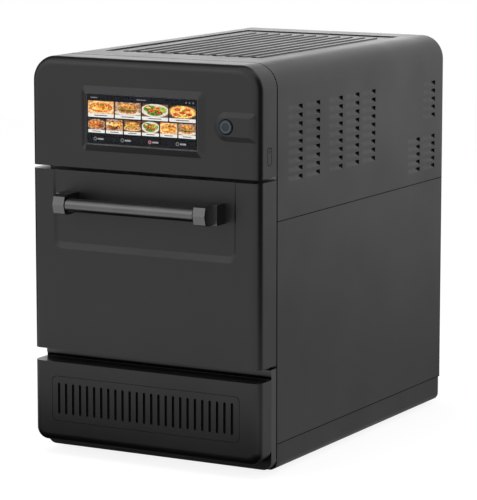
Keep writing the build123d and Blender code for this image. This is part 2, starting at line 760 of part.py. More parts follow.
def upper_cover():
    """One sheet over the top and both upper sides, with lanced louvres and the vent field."""
    low = MID_SEAM + SEAM / 2
    outer = outline(HALF, low, HEIGHT, 0, CORNER_R)
    inner = outline(HALF - SHEET, low - OVERRUN, HEIGHT - SHEET, 0, CORNER_R - SHEET)
    cover = prism_y(outer - inner, BODY_FRONT, DEPTH)
    hem = outline(HALF - FLANGE, low - OVERRUN, HEIGHT - FLANGE, 0, CORNER_R - FLANGE)
    cover += prism_y(outer - hem, DEPTH - SHEET, DEPTH)
    cover -= prism_z(vent_outline(0), HEIGHT - SHEET - OVERRUN, HEIGHT + OVERRUN)
    windows = []
    tabs = []
    for y, z in louvre_places():
        opening = ((HALF - SHEET - OVERRUN, HALF + OVERRUN), (y, y + LOUVRE_LENGTH), (z, z + LOUVRE_OPEN))
        window = box_between(*opening)
        tab = louvre_tab(y, z)
        windows += [window, mirrored(window)]
        tabs += [tab, mirrored(tab)]
    return (cover - windows) + tabs


def side_panel(side):
    """Lower side panel with its folded rear and lower edges."""
    low = BODY_BASE
    high = MID_SEAM - SEAM / 2
    panel = box_between((HALF - SHEET, HALF), (BODY_FRONT, DEPTH), (low, high))
    panel += box_between((HALF - FLANGE, HALF), (DEPTH - SHEET, DEPTH), (low, high))
    panel += box_between((HALF - FLANGE, HALF), (FRAME_REAR + SEAT, DEPTH), (low, low + SHEET))
    return panel if side > 0 else mirrored(panel)


def vent_plate():
    """Sunk plate with long hollow ribs, open at their front ends; both sides fold down as air guides."""
    top = HEIGHT - SHEET - SEAT
    plate = prism_z(vent_outline(VENT_LIP), top - SHEET, top)
    guide_half = VENT_HALF + VENT_LIP
    guide_y = (VENT_FRONT, VENT_REAR)
    guide_low = CAVITY_HIGH + CAVITY_SHEET + WOOL_TOP + AIR_GUIDE_GAP
    guide = box_between((guide_half - SHEET, guide_half), guide_y, (guide_low, top))
    plate += [guide, mirrored(guide)]
    hollow_half = RIB_TOP_WIDTH / 2 - RIB_METAL
    ribs = []
    slots = []
    for index in range(RIB_COUNT):
        x = RIB_SHIFT + (index - (RIB_COUNT - 1) / 2) * RIB_PITCH
        crown = HEIGHT
        section = Polyline(
            (x - RIB_WIDTH / 2, top - SHEET), (x - RIB_WIDTH / 2, top), (x - RIB_TOP_WIDTH / 2, crown),
            (x + RIB_TOP_WIDTH / 2, crown), (x + RIB_WIDTH / 2, top), (x + RIB_WIDTH / 2, top - SHEET),
            close=True,
        )
        ribs.append(prism_y(make_face(section), RIB_FRONT, RIB_REAR))
        slots.append(box_between(
            (x - hollow_half, x + hollow_half), (RIB_FRONT - RIB_METAL, RIB_REAR - RIB_METAL),
            (top - SHEET - OVERRUN, crown - RIB_METAL),
        ))
    return (plate + ribs) - slots


def rear_outline():
    """Outline of the rear panel inside the covers."""
    low = BODY_BASE + SHEET + SEAT
    return outline(PANEL_HALF, low, HEIGHT - SHEET - SEAT, 0, CORNER_R - SHEET - SEAT)


def rear_screw_places():
    """Places of the screws that hold the covers to the rear panel."""
    low = BODY_BASE + REAR_SCREW_INSET
    places = []
    for share in REAR_SCREW_ROWS_SHARE:
        for x in (-HALF + REAR_SCREW_INSET, HALF - REAR_SCREW_INSET):
            places.append((x, low + share * (MID_SEAM - low)))
            places.append((x, MID_SEAM + share * (HEIGHT - CORNER_R - MID_SEAM)))
    return places


def rear_panel():
    """Flat rear panel with vent slots, the exhaust mouth and the hole for the cable gland."""
    through = (REAR_PANEL_FRONT - OVERRUN, REAR_PANEL_REAR + OVERRUN)
    panel = prism_y(rear_outline(), REAR_PANEL_FRONT, REAR_PANEL_REAR)
    length = HALF - REAR_FIELD_SIDE - REAR_SLOT_BRIDGE / 2
    x_slot = (length + REAR_SLOT_BRIDGE) / 2
    for index in range(REAR_SLOT_COUNT):
        z = HEIGHT - REAR_FIELD_DROP - index * REAR_SLOT_PITCH
        for x in (-x_slot, x_slot):
            panel -= prism_y(Pos(x, z) * Rectangle(length, REAR_SLOT_HEIGHT), *through)
    pitch = 2 * EXHAUST_HALF / (EXHAUST_SLOTS + 1)
    for index in range(EXHAUST_SLOTS):
        x = EXHAUST_X - EXHAUST_HALF + pitch * (index + 1)
        slot = SlotOverall(2 * (EXHAUST_HALF_HEIGHT - EXHAUST_SHEET), EXHAUST_SLOT_WIDTH, rotation=90)
        panel -= prism_y(Pos(x, EXHAUST_Z) * slot, *through)
    panel -= round_y(GLAND_X, GLAND_Z, GLAND_R, *through)
    for x, z in rear_screw_places():
        panel -= round_y(x, z, REAR_SCREW_SHANK_R + RUNNING_FIT, *through)
    return panel


def holed_for_rear_screws(cover):
    """Cover with clearance holes for the rear screws."""
    for x, z in rear_screw_places():
        cover -= round_y(x, z, REAR_SCREW_SHANK_R + SEAT, DEPTH - SHEET - OVERRUN, DEPTH + OVERRUN)
    return cover


def rear_screws():
    """Pan-head screws through the folded edges into the rear panel."""
    screws = []
    for x, z in rear_screw_places():
        head = round_y(x, z, REAR_SCREW_R, DEPTH, DEPTH + REAR_SCREW_HEAD)
        shank = round_y(x, z, REAR_SCREW_SHANK_R, REAR_PANEL_FRONT - OVERRUN, DEPTH)
        screws.append(chamfer(head.edges().sort_by(Axis.Y)[-1], REAR_SCREW_HEAD / 2) + shank)
    return screws


def cable_gland():
    """Threaded gland with its nut, where the supply lead comes in."""
    rear = REAR_PANEL_REAR
    nut = prism_y(Pos(GLAND_X, GLAND_Z) * RegularPolygon(GLAND_NUT_R, 6), rear, rear + GLAND_NUT)
    body = round_y(GLAND_X, GLAND_Z, GLAND_R - RUNNING_FIT, REAR_PANEL_FRONT - GLAND_LENGTH, rear + GLAND_NUT)
    collar = round_y(GLAND_X, GLAND_Z, GLAND_R - SHEET, rear, rear + GLAND_NUT + GLAND_LENGTH)
    collar = fillet(collar.edges().sort_by(Axis.Y)[-1], SHEET)
    bore = round_y(
        GLAND_X, GLAND_Z, GLAND_BORE_R, REAR_PANEL_FRONT - GLAND_LENGTH - OVERRUN, BODY_REAR + OVERRUN,
    )
    return nut + body + collar - bore


# Control fascia, screen, button and service port

def platform_outline(radius):
    """Outline of the button platform, round at its left end and open to the right."""
    length = HALF + EDGE_R - BUTTON_X
    bar = Pos(BUTTON_X + length / 2, SCREEN_Z) * Rectangle(length, 2 * radius)
    return Pos(BUTTON_X, SCREEN_Z) * Circle(radius) + bar


def button_platform():
    """Raised platform that runs into the rounded side of the fascia."""
    ramp = loft(
        [at_y(platform_outline(PLATFORM_FOOT_R), 0), at_y(platform_outline(PLATFORM_FACE_R), -PLATFORM_RISE)],
        ruled=True,
    )
    envelope = moulded_block(
        HALF, (FASCIA_LOW, HEIGHT), (-PLATFORM_RISE, FRONT_DEPTH), 0, CORNER_R, EDGE_R + PLATFORM_RISE,
    )
    return ramp & envelope


def port_box(grow, x_low, x_high):
    """Box of the service port in the right wall, grown all round."""
    return box_between(
        (x_low, x_high),
        (PORT_FRONT - grow, PORT_FRONT + PORT_LENGTH + grow),
        (PORT_LOW - grow, PORT_LOW + PORT_HEIGHT + grow),
    )


def port_socket_box(grow, x_low, x_high):
    """Box of the socket behind the service port."""
    y = PORT_FRONT + PORT_LENGTH / 2
    z = PORT_LOW + PORT_HEIGHT / 2
    half = PORT_SOCKET_HALF + grow
    half_height = PORT_SOCKET_HALF_HEIGHT + grow
    return box_between((x_low, x_high), (y - half, y + half), (z - half_height, z + half_height))


def control_fascia():
    """Moulded top front with the screen opening, the button platform and the port pocket."""
    shell = moulded_block(HALF, (FASCIA_LOW, HEIGHT), (0, FRONT_DEPTH), 0, CORNER_R, EDGE_R)
    hollow = moulded_block(
        HALF - SKIN, (FASCIA_LOW + SKIN, HEIGHT - SKIN), (SKIN, FRONT_DEPTH + OVERRUN),
        0, CORNER_R - SKIN, EDGE_R - SKIN,
    )
    shell -= hollow
    ring_heights = (FASCIA_LOW + SKIN - SPIGOT_INSET, HEIGHT - SKIN + SPIGOT_INSET)
    shell += spigot_ring(HALF - SKIN + SPIGOT_INSET, ring_heights,
                         0, CORNER_R - SKIN + SPIGOT_INSET, (FRONT_DEPTH - FLANGE, BODY_FRONT))
    shell += button_platform()
    shell += port_box(PORT_PAD_MARGIN, HALF - PORT_PAD, HALF - SKIN)
    module = outline(
        GLASS_HALF + MODULE_MARGIN + SEAT, SCREEN_Z - GLASS_HALF_HEIGHT - MODULE_MARGIN - SEAT,
        SCREEN_Z + GLASS_HALF_HEIGHT + MODULE_MARGIN + SEAT,
    )
    shell -= prism_y(module, -OVERRUN, SKIN + OVERRUN)
    shell -= round_y(BUTTON_X, SCREEN_Z, BUTTON_R + BUTTON_GAP, -PLATFORM_RISE - OVERRUN, SKIN + OVERRUN)
    shell -= port_box(0, HALF - PORT_DEPTH, HALF + OVERRUN)
    shell -= port_socket_box(SEAT, HALF - PORT_PAD - OVERRUN, HALF)
    return shell


def screen_bezel():
    """Raised frame round the screen, bevelled on all four sides."""
    middle = Pos(0, SCREEN_Z)
    foot = middle * RectangleRounded(2 * BEZEL_HALF, 2 * BEZEL_HALF_HEIGHT, BEZEL_R)
    face = middle * RectangleRounded(2 * BEZEL_FRONT_HALF, 2 * BEZEL_FRONT_HALF_HEIGHT, BEZEL_FRONT_R)
    frame = loft([at_y(foot, 0), at_y(face, -BEZEL_RISE)], ruled=True)
    window_half_height = GLASS_HALF_HEIGHT + SEAT
    window = outline(GLASS_HALF + SEAT, SCREEN_Z - window_half_height, SCREEN_Z + window_half_height)
    return frame - prism_y(window, -BEZEL_RISE - OVERRUN, OVERRUN)


def display_glass():
    """Cover glass of the touch screen."""
    glass = outline(GLASS_HALF, SCREEN_Z - GLASS_HALF_HEIGHT, SCREEN_Z + GLASS_HALF_HEIGHT)
    return prism_y(glass, GLASS_FRONT, GLASS_FRONT + GLASS_THICKNESS)


def display_module():
    """Screen module behind the glass, with a rim that seats behind the bezel."""
    core = outline(GLASS_HALF, SCREEN_Z - GLASS_HALF_HEIGHT, SCREEN_Z + GLASS_HALF_HEIGHT)
    rim = outline(
        GLASS_HALF + MODULE_MARGIN, SCREEN_Z - GLASS_HALF_HEIGHT - MODULE_MARGIN,
        SCREEN_Z + GLASS_HALF_HEIGHT + MODULE_MARGIN,
    )
    return prism_y(core, MODULE_FRONT, SEAT) + prism_y(rim, SEAT, MODULE_REAR)


def control_board():
    """Circuit board behind the screen on four standoffs."""
    front = MODULE_REAR + BOARD_STANDOFF
    half = GLASS_HALF - BOARD_MARGIN
    low = SCREEN_Z - GLASS_HALF_HEIGHT + BOARD_MARGIN / 2
    high = SCREEN_Z + GLASS_HALF_HEIGHT - BOARD_MARGIN / 2
    board = prism_y(outline(half, low, high), front, front + BOARD_THICKNESS)
    for x in (-half + BOARD_MARGIN, half - BOARD_MARGIN):
        for z in (low + BOARD_MARGIN, high - BOARD_MARGIN):
            board += round_y(x, z, BOARD_THICKNESS * 2, MODULE_REAR, front)
    chip = outline(BOARD_MARGIN, SCREEN_Z - BOARD_MARGIN, SCREEN_Z + BOARD_MARGIN)
    return board + prism_y(chip, front + BOARD_THICKNESS, front + 2 * BOARD_THICKNESS)


def power_button():
    """Round push button with a retaining flange behind the skin."""
    flange_front = SKIN + SEAT
    flange_rear = flange_front + BUTTON_FLANGE
    cap = round_y(BUTTON_X, SCREEN_Z, BUTTON_R, BUTTON_FRONT, flange_front)
    cap = fillet(cap.edges().sort_by(Axis.Y)[0], BUTTON_RISE / 2)
    flange_r = BUTTON_R + BUTTON_GAP + BUTTON_FLANGE_RIM
    flange = round_y(BUTTON_X, SCREEN_Z, flange_r, flange_front, flange_rear)
    stem = round_y(BUTTON_X, SCREEN_Z, BUTTON_STEM_R, flange_rear, flange_rear + BUTTON_STEM)
    return cap + flange + stem


def button_switch():
    """Switch behind the button, with a sleeve round the stem and a bracket from the fascia."""
    front = SKIN + SEAT + BUTTON_FLANGE + BUTTON_STEM + BUTTON_TRAVEL + SEAT
    rear = front + SWITCH_DEPTH
    half = SWITCH_SIZE / 2
    z_pair = (SCREEN_Z - half, SCREEN_Z + half)
    body = box_between((BUTTON_X - half, BUTTON_X + half), (front, rear), z_pair)
    arm = box_between((BUTTON_X - half, HALF - SKIN - SEAT), (rear - SKIN, rear), z_pair)
    bore = BUTTON_STEM_R + SEAT
    sleeve = Circle(bore + SWITCH_SLEEVE_WALL) - Circle(bore)
    sleeve_front = front - BUTTON_TRAVEL - SWITCH_SLEEVE
    return body + arm + prism_y(Pos(BUTTON_X, SCREEN_Z) * sleeve, sleeve_front, front)


def port_cover():
    """Soft flap that lies flush in the pocket of the service port, with its hinge edge rounded."""
    radius = (PORT_DEPTH - PORT_COVER_GAP) / 2
    front = PORT_FRONT + PORT_COVER_GAP
    rear = PORT_FRONT + PORT_LENGTH - PORT_COVER_GAP
    low = PORT_LOW + PORT_COVER_GAP + radius
    high = PORT_LOW + PORT_HEIGHT - PORT_COVER_GAP
    flap = box_between((HALF - 2 * radius, HALF), (front, rear), (low, high))
    edge = round_y(HALF - radius, low, radius, front, rear)
    plug = port_socket_box(-PORT_COVER_GAP, HALF - PORT_DEPTH - SEAT, HALF - PORT_DEPTH + PORT_COVER_GAP)
    return flap + edge + plug


def port_socket():
    """Socket behind the flap."""
    high = HALF - PORT_DEPTH - SEAT - SEAT
    return port_socket_box(0, high - PORT_SOCKET_LENGTH, high)


# Lower cover and air filter

def lower_front_cover():
    """Moulded lower front with a stepped opening for the air filter."""
    cover = moulded_block(HALF, (COVER_LOW, COVER_HIGH), (0, SILL_FRONT), COVER_R, 0, EDGE_R)
    cover -= moulded_block(
        HALF - SKIN, (COVER_LOW + SKIN, COVER_HIGH - SKIN), (SKIN, SILL_FRONT + OVERRUN),
        COVER_R - SKIN, 0, EDGE_R - SKIN,
    )
    grow = GRILLE_GAP + SKIN
    radius = GRILLE_R + grow
    tray = outline(GRILLE_HALF + grow, GRILLE_LOW - grow, GRILLE_HIGH + grow, radius, radius)
    cover += prism_y(tray, SKIN, GRILLE_FACE + SEAT + SKIN)
    gap = GRILLE_GAP
    pocket = outline(GRILLE_HALF + gap, GRILLE_LOW - gap, GRILLE_HIGH + gap, GRILLE_R, GRILLE_R)
    cover -= prism_y(pocket, -OVERRUN, GRILLE_FACE + SEAT)
    step = GRILLE_RIM_INSET - gap
    mouth = outline(GRILLE_HALF - step, GRILLE_LOW + step, GRILLE_HIGH - step, GRILLE_R / 2, GRILLE_R / 2)
    return cover - prism_y(mouth, -OVERRUN, GRILLE_FACE + SKIN + OVERRUN)


def air_filter_grille():
    """Removable slotted face with a rim that holds the filter."""
    face = prism_y(outline(GRILLE_HALF, GRILLE_LOW, GRILLE_HIGH, GRILLE_R, GRILLE_R), 0, GRILLE_FACE)
    inset = GRILLE_RIM_INSET
    rim = outline(GRILLE_HALF - inset, GRILLE_LOW + inset, GRILLE_HIGH - inset, GRILLE_R / 2, GRILLE_R / 2)
    inset += GRILLE_RIM_WALL
    rim -= outline(GRILLE_HALF - inset, GRILLE_LOW + inset, GRILLE_HIGH - inset, GRILLE_R / 4, GRILLE_R / 4)
    face += prism_y(rim, GRILLE_FACE, GRILLE_FACE + GRILLE_RIM)
    low = GRILLE_LOW + SLOT_LOW_MARGIN
    high = GRILLE_HIGH - SLOT_TOP_MARGIN
    slots = []
    for index in range(SLOT_COUNT):
        x = -SLOT_HALF_SPAN + index * SLOT_PITCH
        slot = Pos(x, (low + high) / 2) * SlotOverall(high - low, SLOT_WIDTH, rotation=90)
        slots.append(prism_y(slot, -OVERRUN, GRILLE_FACE + OVERRUN))
    return face - slots


def filter_pad():
    """Filter pad held in the rim behind the grille."""
    inset = GRILLE_RIM_INSET + GRILLE_RIM_WALL + SEAT
    pad = outline(GRILLE_HALF - inset, GRILLE_LOW + inset, GRILLE_HIGH - inset, GRILLE_R / 4, GRILLE_R / 4)
    front = GRILLE_FACE + SEAT
    return prism_y(pad, front, front + FILTER_THICKNESS)


# Door

def recess_floor_y(z):
    """Depth of the sloping floor of the handle recess at height z."""
    share = (DOOR_HIGH - z) / (DOOR_HIGH - RECESS_LOW)
    return RECESS_DEPTH_HIGH + share * (RECESS_DEPTH_LOW - RECESS_DEPTH_HIGH)


def recess_form(grow):
    """Space of the handle recess, grown by a wall thickness."""
    high = DOOR_HIGH + OVERRUN
    mouth = outline(RECESS_HALF + grow, RECESS_LOW - grow, high, RECESS_R, 0)
    floor_half = RECESS_HALF - RECESS_DRAFT + grow
    floor = outline(floor_half, RECESS_FLOOR_LOW - grow, high, RECESS_FLOOR_R, 0)
    funnel = loft([at_y(mouth, 0), at_y(floor, RECESS_DEPTH_LOW + grow)], ruled=True)
    low = RECESS_LOW - grow - OVERRUN
    wedge = Polyline(
        (-OVERRUN, low), (recess_floor_y(low) + grow, low), (recess_floor_y(high) + grow, high),
        (-OVERRUN, high), close=True,
    )
    wide = HALF
    return funnel & prism_x(make_face(wedge), -wide, wide)


def door_shell():
    """Outer skin of the door with its handle recess and the notches for the hinge ears."""
    z_pair = (DOOR_LOW, DOOR_HIGH)
    outer = moulded_block(HALF, z_pair, (0, FRONT_DEPTH), 0, 0, EDGE_R)
    hollow = moulded_block(
        HALF - DOOR_WALL, (DOOR_LOW + DOOR_WALL, DOOR_HIGH - DOOR_WALL),
        (DOOR_WALL, FRONT_DEPTH + OVERRUN), 0, 0, EDGE_R - DOOR_WALL,
    )
    shell = (outer - (hollow - recess_form(DOOR_WALL))) - recess_form(0)
    for side in SIDES.values():
        x = side * HINGE_X
        half = EAR_HALF + EAR_SIDE_GAP
        shell -= box_between(
            (x - half, x + half), (NOTCH_FRONT, NOTCH_REAR),
            (DOOR_LOW - OVERRUN, DOOR_LOW + DOOR_WALL + SEAT),
        )
        for x_screw in (-HANDLE_SCREW_X, HANDLE_SCREW_X):
            shell -= round_y(x_screw, HANDLE_Z, HANDLE_SCREW_R + SEAT, 0, RECESS_DEPTH_LOW + DOOR_WALL)
    return shell


def door_inner_panel():
    """Bright pan that closes the door, pressed forward over the cavity."""
    half = HALF - DOOR_WALL - SEAT
    low = DOOR_LOW + DOOR_WALL + SEAT
    high = DOOR_HIGH - DOOR_WALL - SEAT
    front = FRONT_DEPTH - INNER_PANEL_DEPTH
    pan = prism_y(outline(half, low, high), front, FRONT_DEPTH)
    wall = INNER_PANEL_SHEET
    pan -= prism_y(outline(half - wall, low + wall, high - wall), front - OVERRUN, FRONT_DEPTH - wall)
    pressing = cavity_outline(-INNER_PRESSING_MARGIN, INNER_PRESSING_R)
    web = cavity_outline(wall - INNER_PRESSING_MARGIN, INNER_PRESSING_R + wall)
    pan += prism_y(web, FRONT_DEPTH - INNER_PRESSING - wall, FRONT_DEPTH - wall / 2)
    return pan - prism_y(pressing, FRONT_DEPTH - INNER_PRESSING, FRONT_DEPTH + OVERRUN)


def door_gasket():
    """Seal that meets the front frame round the cavity mouth."""
    ring = cavity_outline(GASKET_MARGIN, GASKET_R)
    ring -= cavity_outline(GASKET_MARGIN - GASKET_WIDTH, GASKET_R / 2)
    return prism_y(ring, FRONT_DEPTH, BODY_FRONT - SEAT)


def door_wool():
    """Insulation slab inside the door."""
    front = RECESS_DEPTH_LOW + DOOR_WALL + HANDLE_SCREW_HEAD + SEAT
    rear = FRONT_DEPTH - INNER_PRESSING - INNER_PANEL_SHEET - SEAT
    slab = outline(HALF - DOOR_WOOL_SIDE, DOOR_LOW + DOOR_WOOL_LIFT, DOOR_HIGH - DOOR_WOOL_DROP)
    return prism_y(slab, front, rear)


def handle_bar():
    """Round bar with a spigot at each end."""
    bar = round_x(BAR_Y, HANDLE_Z, BAR_R, -BAR_HALF, BAR_HALF)
    reach = BAR_HALF + BAR_SPIGOT
    spigot = round_x(BAR_Y, HANDLE_Z, BAR_SPIGOT_R, -reach, reach)
    return bar + spigot


def handle_mount(side):
    """Faceted head that takes the bar, on a wider standoff that seats in the recess."""
    half = HEAD_HALF_HEIGHT
    facet = HEAD_FACET_HALF
    facet_y = HEAD_FRONT + HEAD_FACET
    shoulder_y = HEAD_FRONT + HEAD_SHOULDER
    head = Polyline(
        (HEAD_STEP, HANDLE_Z - half), (shoulder_y, HANDLE_Z - half), (facet_y, HANDLE_Z - facet),
        (HEAD_FRONT, HANDLE_Z), (facet_y, HANDLE_Z + facet), (shoulder_y, HANDLE_Z + half),
        (HEAD_STEP, HANDLE_Z + half), close=True,
    )
    mount = prism_x(make_face(head), BAR_HALF, HEAD_HALF)
    low = HANDLE_Z - half
    high = HANDLE_Z + half
    arm = Polyline(
        (HEAD_STEP, low), (recess_floor_y(low), low), (recess_floor_y(high), high), (HEAD_STEP, high),
        close=True,
    )
    mount += prism_x(make_face(arm), STANDOFF_INNER, STANDOFF_OUTER)
    reach = BAR_HALF + BAR_SPIGOT
    mount -= round_x(BAR_Y, HANDLE_Z, BAR_SPIGOT_R + RUNNING_FIT, BAR_HALF - OVERRUN, reach + SEAT)
    tip = recess_floor_y(HANDLE_Z) - HANDLE_SCREW_LENGTH
    mount -= round_y(HANDLE_SCREW_X, HANDLE_Z, HANDLE_SCREW_R + RUNNING_FIT, tip, RECESS_DEPTH_LOW)
    return mount if side > 0 else mirrored(mount)


def handle_screws():
    """Screws from inside the door into the handle mounts."""
    screws = []
    seat = recess_floor_y(HANDLE_Z - HANDLE_SCREW_HEAD_R) + DOOR_WALL + SEAT
    tip = recess_floor_y(HANDLE_Z) - HANDLE_SCREW_LENGTH + SEAT
    for x in (-HANDLE_SCREW_X, HANDLE_SCREW_X):
        head = round_y(x, HANDLE_Z, HANDLE_SCREW_HEAD_R, seat, seat + HANDLE_SCREW_HEAD)
        screws.append(head + round_y(x, HANDLE_Z, HANDLE_SCREW_R, tip, seat))
    return screws


# Hinge

def hinge_bracket(side):
    """Ear from a plate on top of the sill frame, with the bore for the hinge pin."""
    plate = box_between(
        (HINGE_X - BRACKET_HALF, HINGE_X + BRACKET_HALF), (SILL_FRONT, SILL_FRONT + BRACKET_LENGTH),
        (SILL_HIGH, BRACKET_HIGH),
    )
    boss = Pos(HINGE_Y, HINGE_Z) * Circle(EAR_R)
    slope = math.radians(ARM_SLOPE)
    arm = make_face(Polyline(
        (HINGE_Y, HINGE_Z - EAR_R), (SILL_FRONT, SILL_HIGH), (SILL_FRONT, BRACKET_HIGH),
        (HINGE_Y + EAR_R * math.cos(slope), HINGE_Z + EAR_R * math.sin(slope)), close=True,
    ))
    ear = prism_x(boss + arm, HINGE_X - EAR_HALF, HINGE_X + EAR_HALF)
    bracket = plate + ear
    bore = (HINGE_X - EAR_HALF - OVERRUN, HINGE_X + EAR_HALF + OVERRUN)
    bracket -= round_x(HINGE_Y, HINGE_Z, PIN_R + RUNNING_FIT, *bore)
    return bracket if side > 0 else mirrored(bracket)


def hinge_lug(side):
    """Channel in the door's lower corner whose two ears hold the pin."""
    low = DOOR_LOW + DOOR_WALL + SEAT
    high = HINGE_Z + LUG_RISE + LUG_TOP
    lug = box_between((LUG_INNER, LUG_OUTER), (LUG_FRONT, LUG_REAR), (low, high))
    lug -= box_between(
        (LUG_INNER + LUG_EAR, LUG_OUTER - LUG_EAR), (LUG_FRONT - OVERRUN, LUG_REAR + OVERRUN),
        (low - OVERRUN, HINGE_Z + LUG_RISE),
    )
    lug = fillet(lug.edges().filter_by(Axis.X).group_by(Axis.Z)[-1], LUG_R)
    bore = PIN_R + RUNNING_FIT / 2
    lug -= round_x(HINGE_Y, HINGE_Z, bore, LUG_INNER - OVERRUN, LUG_OUTER + OVERRUN)
    return lug if side > 0 else mirrored(lug)


def hinge_pins():
    """Steel pins on the door's axis."""
    pin = round_x(HINGE_Y, HINGE_Z, PIN_R, LUG_INNER, LUG_OUTER)
    return [pin, mirrored(pin)]


# Cavity

def cavity_shell():
    """Bright steel box with the fan opening in its rear wall and ledges for the rack."""
    wall = CAVITY_SHEET
    shell = prism_y(cavity_outline(wall, CAVITY_R + wall), FRAME_REAR, CAVITY_SEAT)
    shell -= prism_y(cavity_outline(0, CAVITY_R), FRAME_REAR - OVERRUN, CAVITY_REAR)
    for side in SIDES.values():
        x_pair = sorted((side * CAVITY_HALF, side * (CAVITY_HALF - RAIL_WIDTH)))
        shell += box_between(x_pair, (RACK_FRONT_Y, CAVITY_REAR), (RAIL_Z - RAIL_HEIGHT, RAIL_Z))
    through = (CAVITY_REAR - OVERRUN, CAVITY_SEAT + OVERRUN)
    shell -= round_y(0, FAN_Z, FAN_OPENING_R, *through)
    shell -= round_y(PROBE_X, PROBE_Z, PROBE_R + SEAT, *through)
    mouth = outline(
        EXHAUST_HALF - EXHAUST_SHEET, EXHAUST_Z - EXHAUST_HALF_HEIGHT + EXHAUST_SHEET,
        EXHAUST_Z + EXHAUST_HALF_HEIGHT / 2, x_middle=EXHAUST_X,
    )
    shell -= prism_y(mouth, *through)
    window = Pos(0, GUIDE_MIDDLE) * Rectangle(2 * (GUIDE_HALF - GUIDE_SHEET), GUIDE_DEPTH - 2 * GUIDE_SHEET)
    return shell - prism_z(window, CAVITY_HIGH - OVERRUN, CAVITY_HIGH + wall + OVERRUN)


def jet_plate():
    """Perforated plate under the cavity roof that turns the hot air into jets."""
    low = CAVITY_HIGH - JET_PLATE_DROP
    half = CAVITY_HALF - SEAT
    front = FRAME_REAR + FLANGE
    rear = CAVITY_REAR - SEAT
    plate = box_between((-half, half), (front, rear), (low, low + JET_PLATE_SHEET))
    lip = half - CAVITY_R
    rim_high = low + JET_PLATE_SHEET + JET_RIM
    plate += box_between((-lip, lip), (front, front + JET_PLATE_SHEET), (low, rim_high))
    step_x = 2 * (half - JET_MARGIN) / (JET_COLUMNS - 1)
    step_y = (rear - front - 2 * JET_MARGIN) / (JET_ROWS - 1)
    holes = []
    for column in range(JET_COLUMNS):
        for row in range(JET_ROWS):
            place = Pos(JET_MARGIN - half + column * step_x, front + JET_MARGIN + row * step_y)
            holes.append(prism_z(place * Circle(JET_R), low - OVERRUN, low + JET_PLATE_SHEET + OVERRUN))
    return plate - holes


def return_air_grille():
    """Round perforated guard in front of the convection fan."""
    radius = FAN_OPENING_R + RETURN_RIM
    rear = CAVITY_REAR
    front = rear - RETURN_SHEET
    guard = round_y(0, FAN_Z, radius, front, rear)
    reach = int(FAN_OPENING_R / RETURN_HOLE_PITCH)
    holes = []
    for column in range(-reach, reach + 1):
        for row in range(-reach, reach + 1):
            x = column * RETURN_HOLE_PITCH
            z = row * RETURN_HOLE_PITCH
            if math.hypot(x, z) < FAN_OPENING_R - RETURN_HOLE_R:
                holes.append(round_y(x, FAN_Z + z, RETURN_HOLE_R, front - OVERRUN, rear + OVERRUN))
    return guard - holes


def cook_plate():
    """Ceramic floor plate of the cavity."""
    half = CAVITY_HALF - COOK_PLATE_MARGIN - RAIL_WIDTH
    front = FRAME_REAR + COOK_PLATE_MARGIN
    rear = CAVITY_REAR - COOK_PLATE_MARGIN
    plan = Pos(0, (front + rear) / 2) * RectangleRounded(2 * half, rear - front, COOK_PLATE_R)
    return prism_z(plan, CAVITY_LOW, CAVITY_LOW + COOK_PLATE_THICKNESS)


def wire_rack():
    """Wire rack that lies on the ledges of the cavity."""
    z = RAIL_Z + RACK_FRAME_R
    rack = None
    for x in (-RACK_HALF, RACK_HALF):
        rod = round_y(x, z, RACK_FRAME_R, RACK_FRONT_Y, RACK_REAR_Y)
        rack = rod if rack is None else rack + rod
    for y in (RACK_FRONT_Y, RACK_REAR_Y):
        rack += round_x(y, z, RACK_FRAME_R, -RACK_HALF, RACK_HALF)
    pitch = 2 * RACK_HALF / (RACK_WIRES + 1)
    for index in range(RACK_WIRES):
        x = -RACK_HALF + pitch * (index + 1)
        rack += round_y(x, z, RACK_WIRE_R, RACK_FRONT_Y, RACK_REAR_Y)
    return rack


def cavity_wool():
    """Insulation wrapped round the cavity and the fan case."""
    half = CAVITY_HALF + CAVITY_SHEET + WOOL_THICKNESS
    low = CAVITY_LOW - CAVITY_SHEET - WOOL_THICKNESS
    high = CAVITY_HIGH + CAVITY_SHEET + WOOL_TOP
    wool = prism_y(outline(half, low, high, CAVITY_R, CAVITY_R), FRAME_REAR + SEAT, WOOL_BACK)
    room = CAVITY_SHEET + SEAT
    wool -= prism_y(cavity_outline(room, CAVITY_R + room), FRAME_REAR - OVERRUN, CAVITY_SEAT + SEAT)
    case_half = FAN_CASE_HALF + SEAT
    case = outline(case_half, FAN_Z - case_half, FAN_Z + case_half)
    wool -= prism_y(case, CAVITY_SEAT - OVERRUN, CASE_REAR + SEAT)
    wool -= round_y(0, FAN_Z, MOTOR_BOSS_R + OVERRUN, CASE_REAR - OVERRUN, WOOL_BACK + OVERRUN)
    wool -= round_y(PROBE_X, PROBE_Z, PROBE_HEAD_R + OVERRUN, CAVITY_SEAT - OVERRUN, WOOL_BACK + OVERRUN)
    duct = outline(
        EXHAUST_HALF + SEAT, EXHAUST_Z - EXHAUST_HALF_HEIGHT - SEAT,
        EXHAUST_Z + EXHAUST_HALF_HEIGHT + SEAT, x_middle=EXHAUST_X,
    )
    wool -= prism_y(duct, CAVITY_SEAT - OVERRUN, WOOL_BACK + OVERRUN)
    guide = Pos(0, GUIDE_MIDDLE) * Rectangle(2 * (GUIDE_HALF + SEAT), GUIDE_DEPTH + 2 * SEAT)
    wool -= prism_z(guide, CAVITY_HIGH - OVERRUN, high + OVERRUN)
    heater_cut = HEATER_WIRE_R + OVERRUN
    for x in (-HEATER_TAIL_X, HEATER_TAIL_X):
        wool -= round_y(x, HEATER_TAIL_Z, heater_cut, CASE_REAR - OVERRUN, WOOL_BACK + OVERRUN)
    return wool


# Hot air system

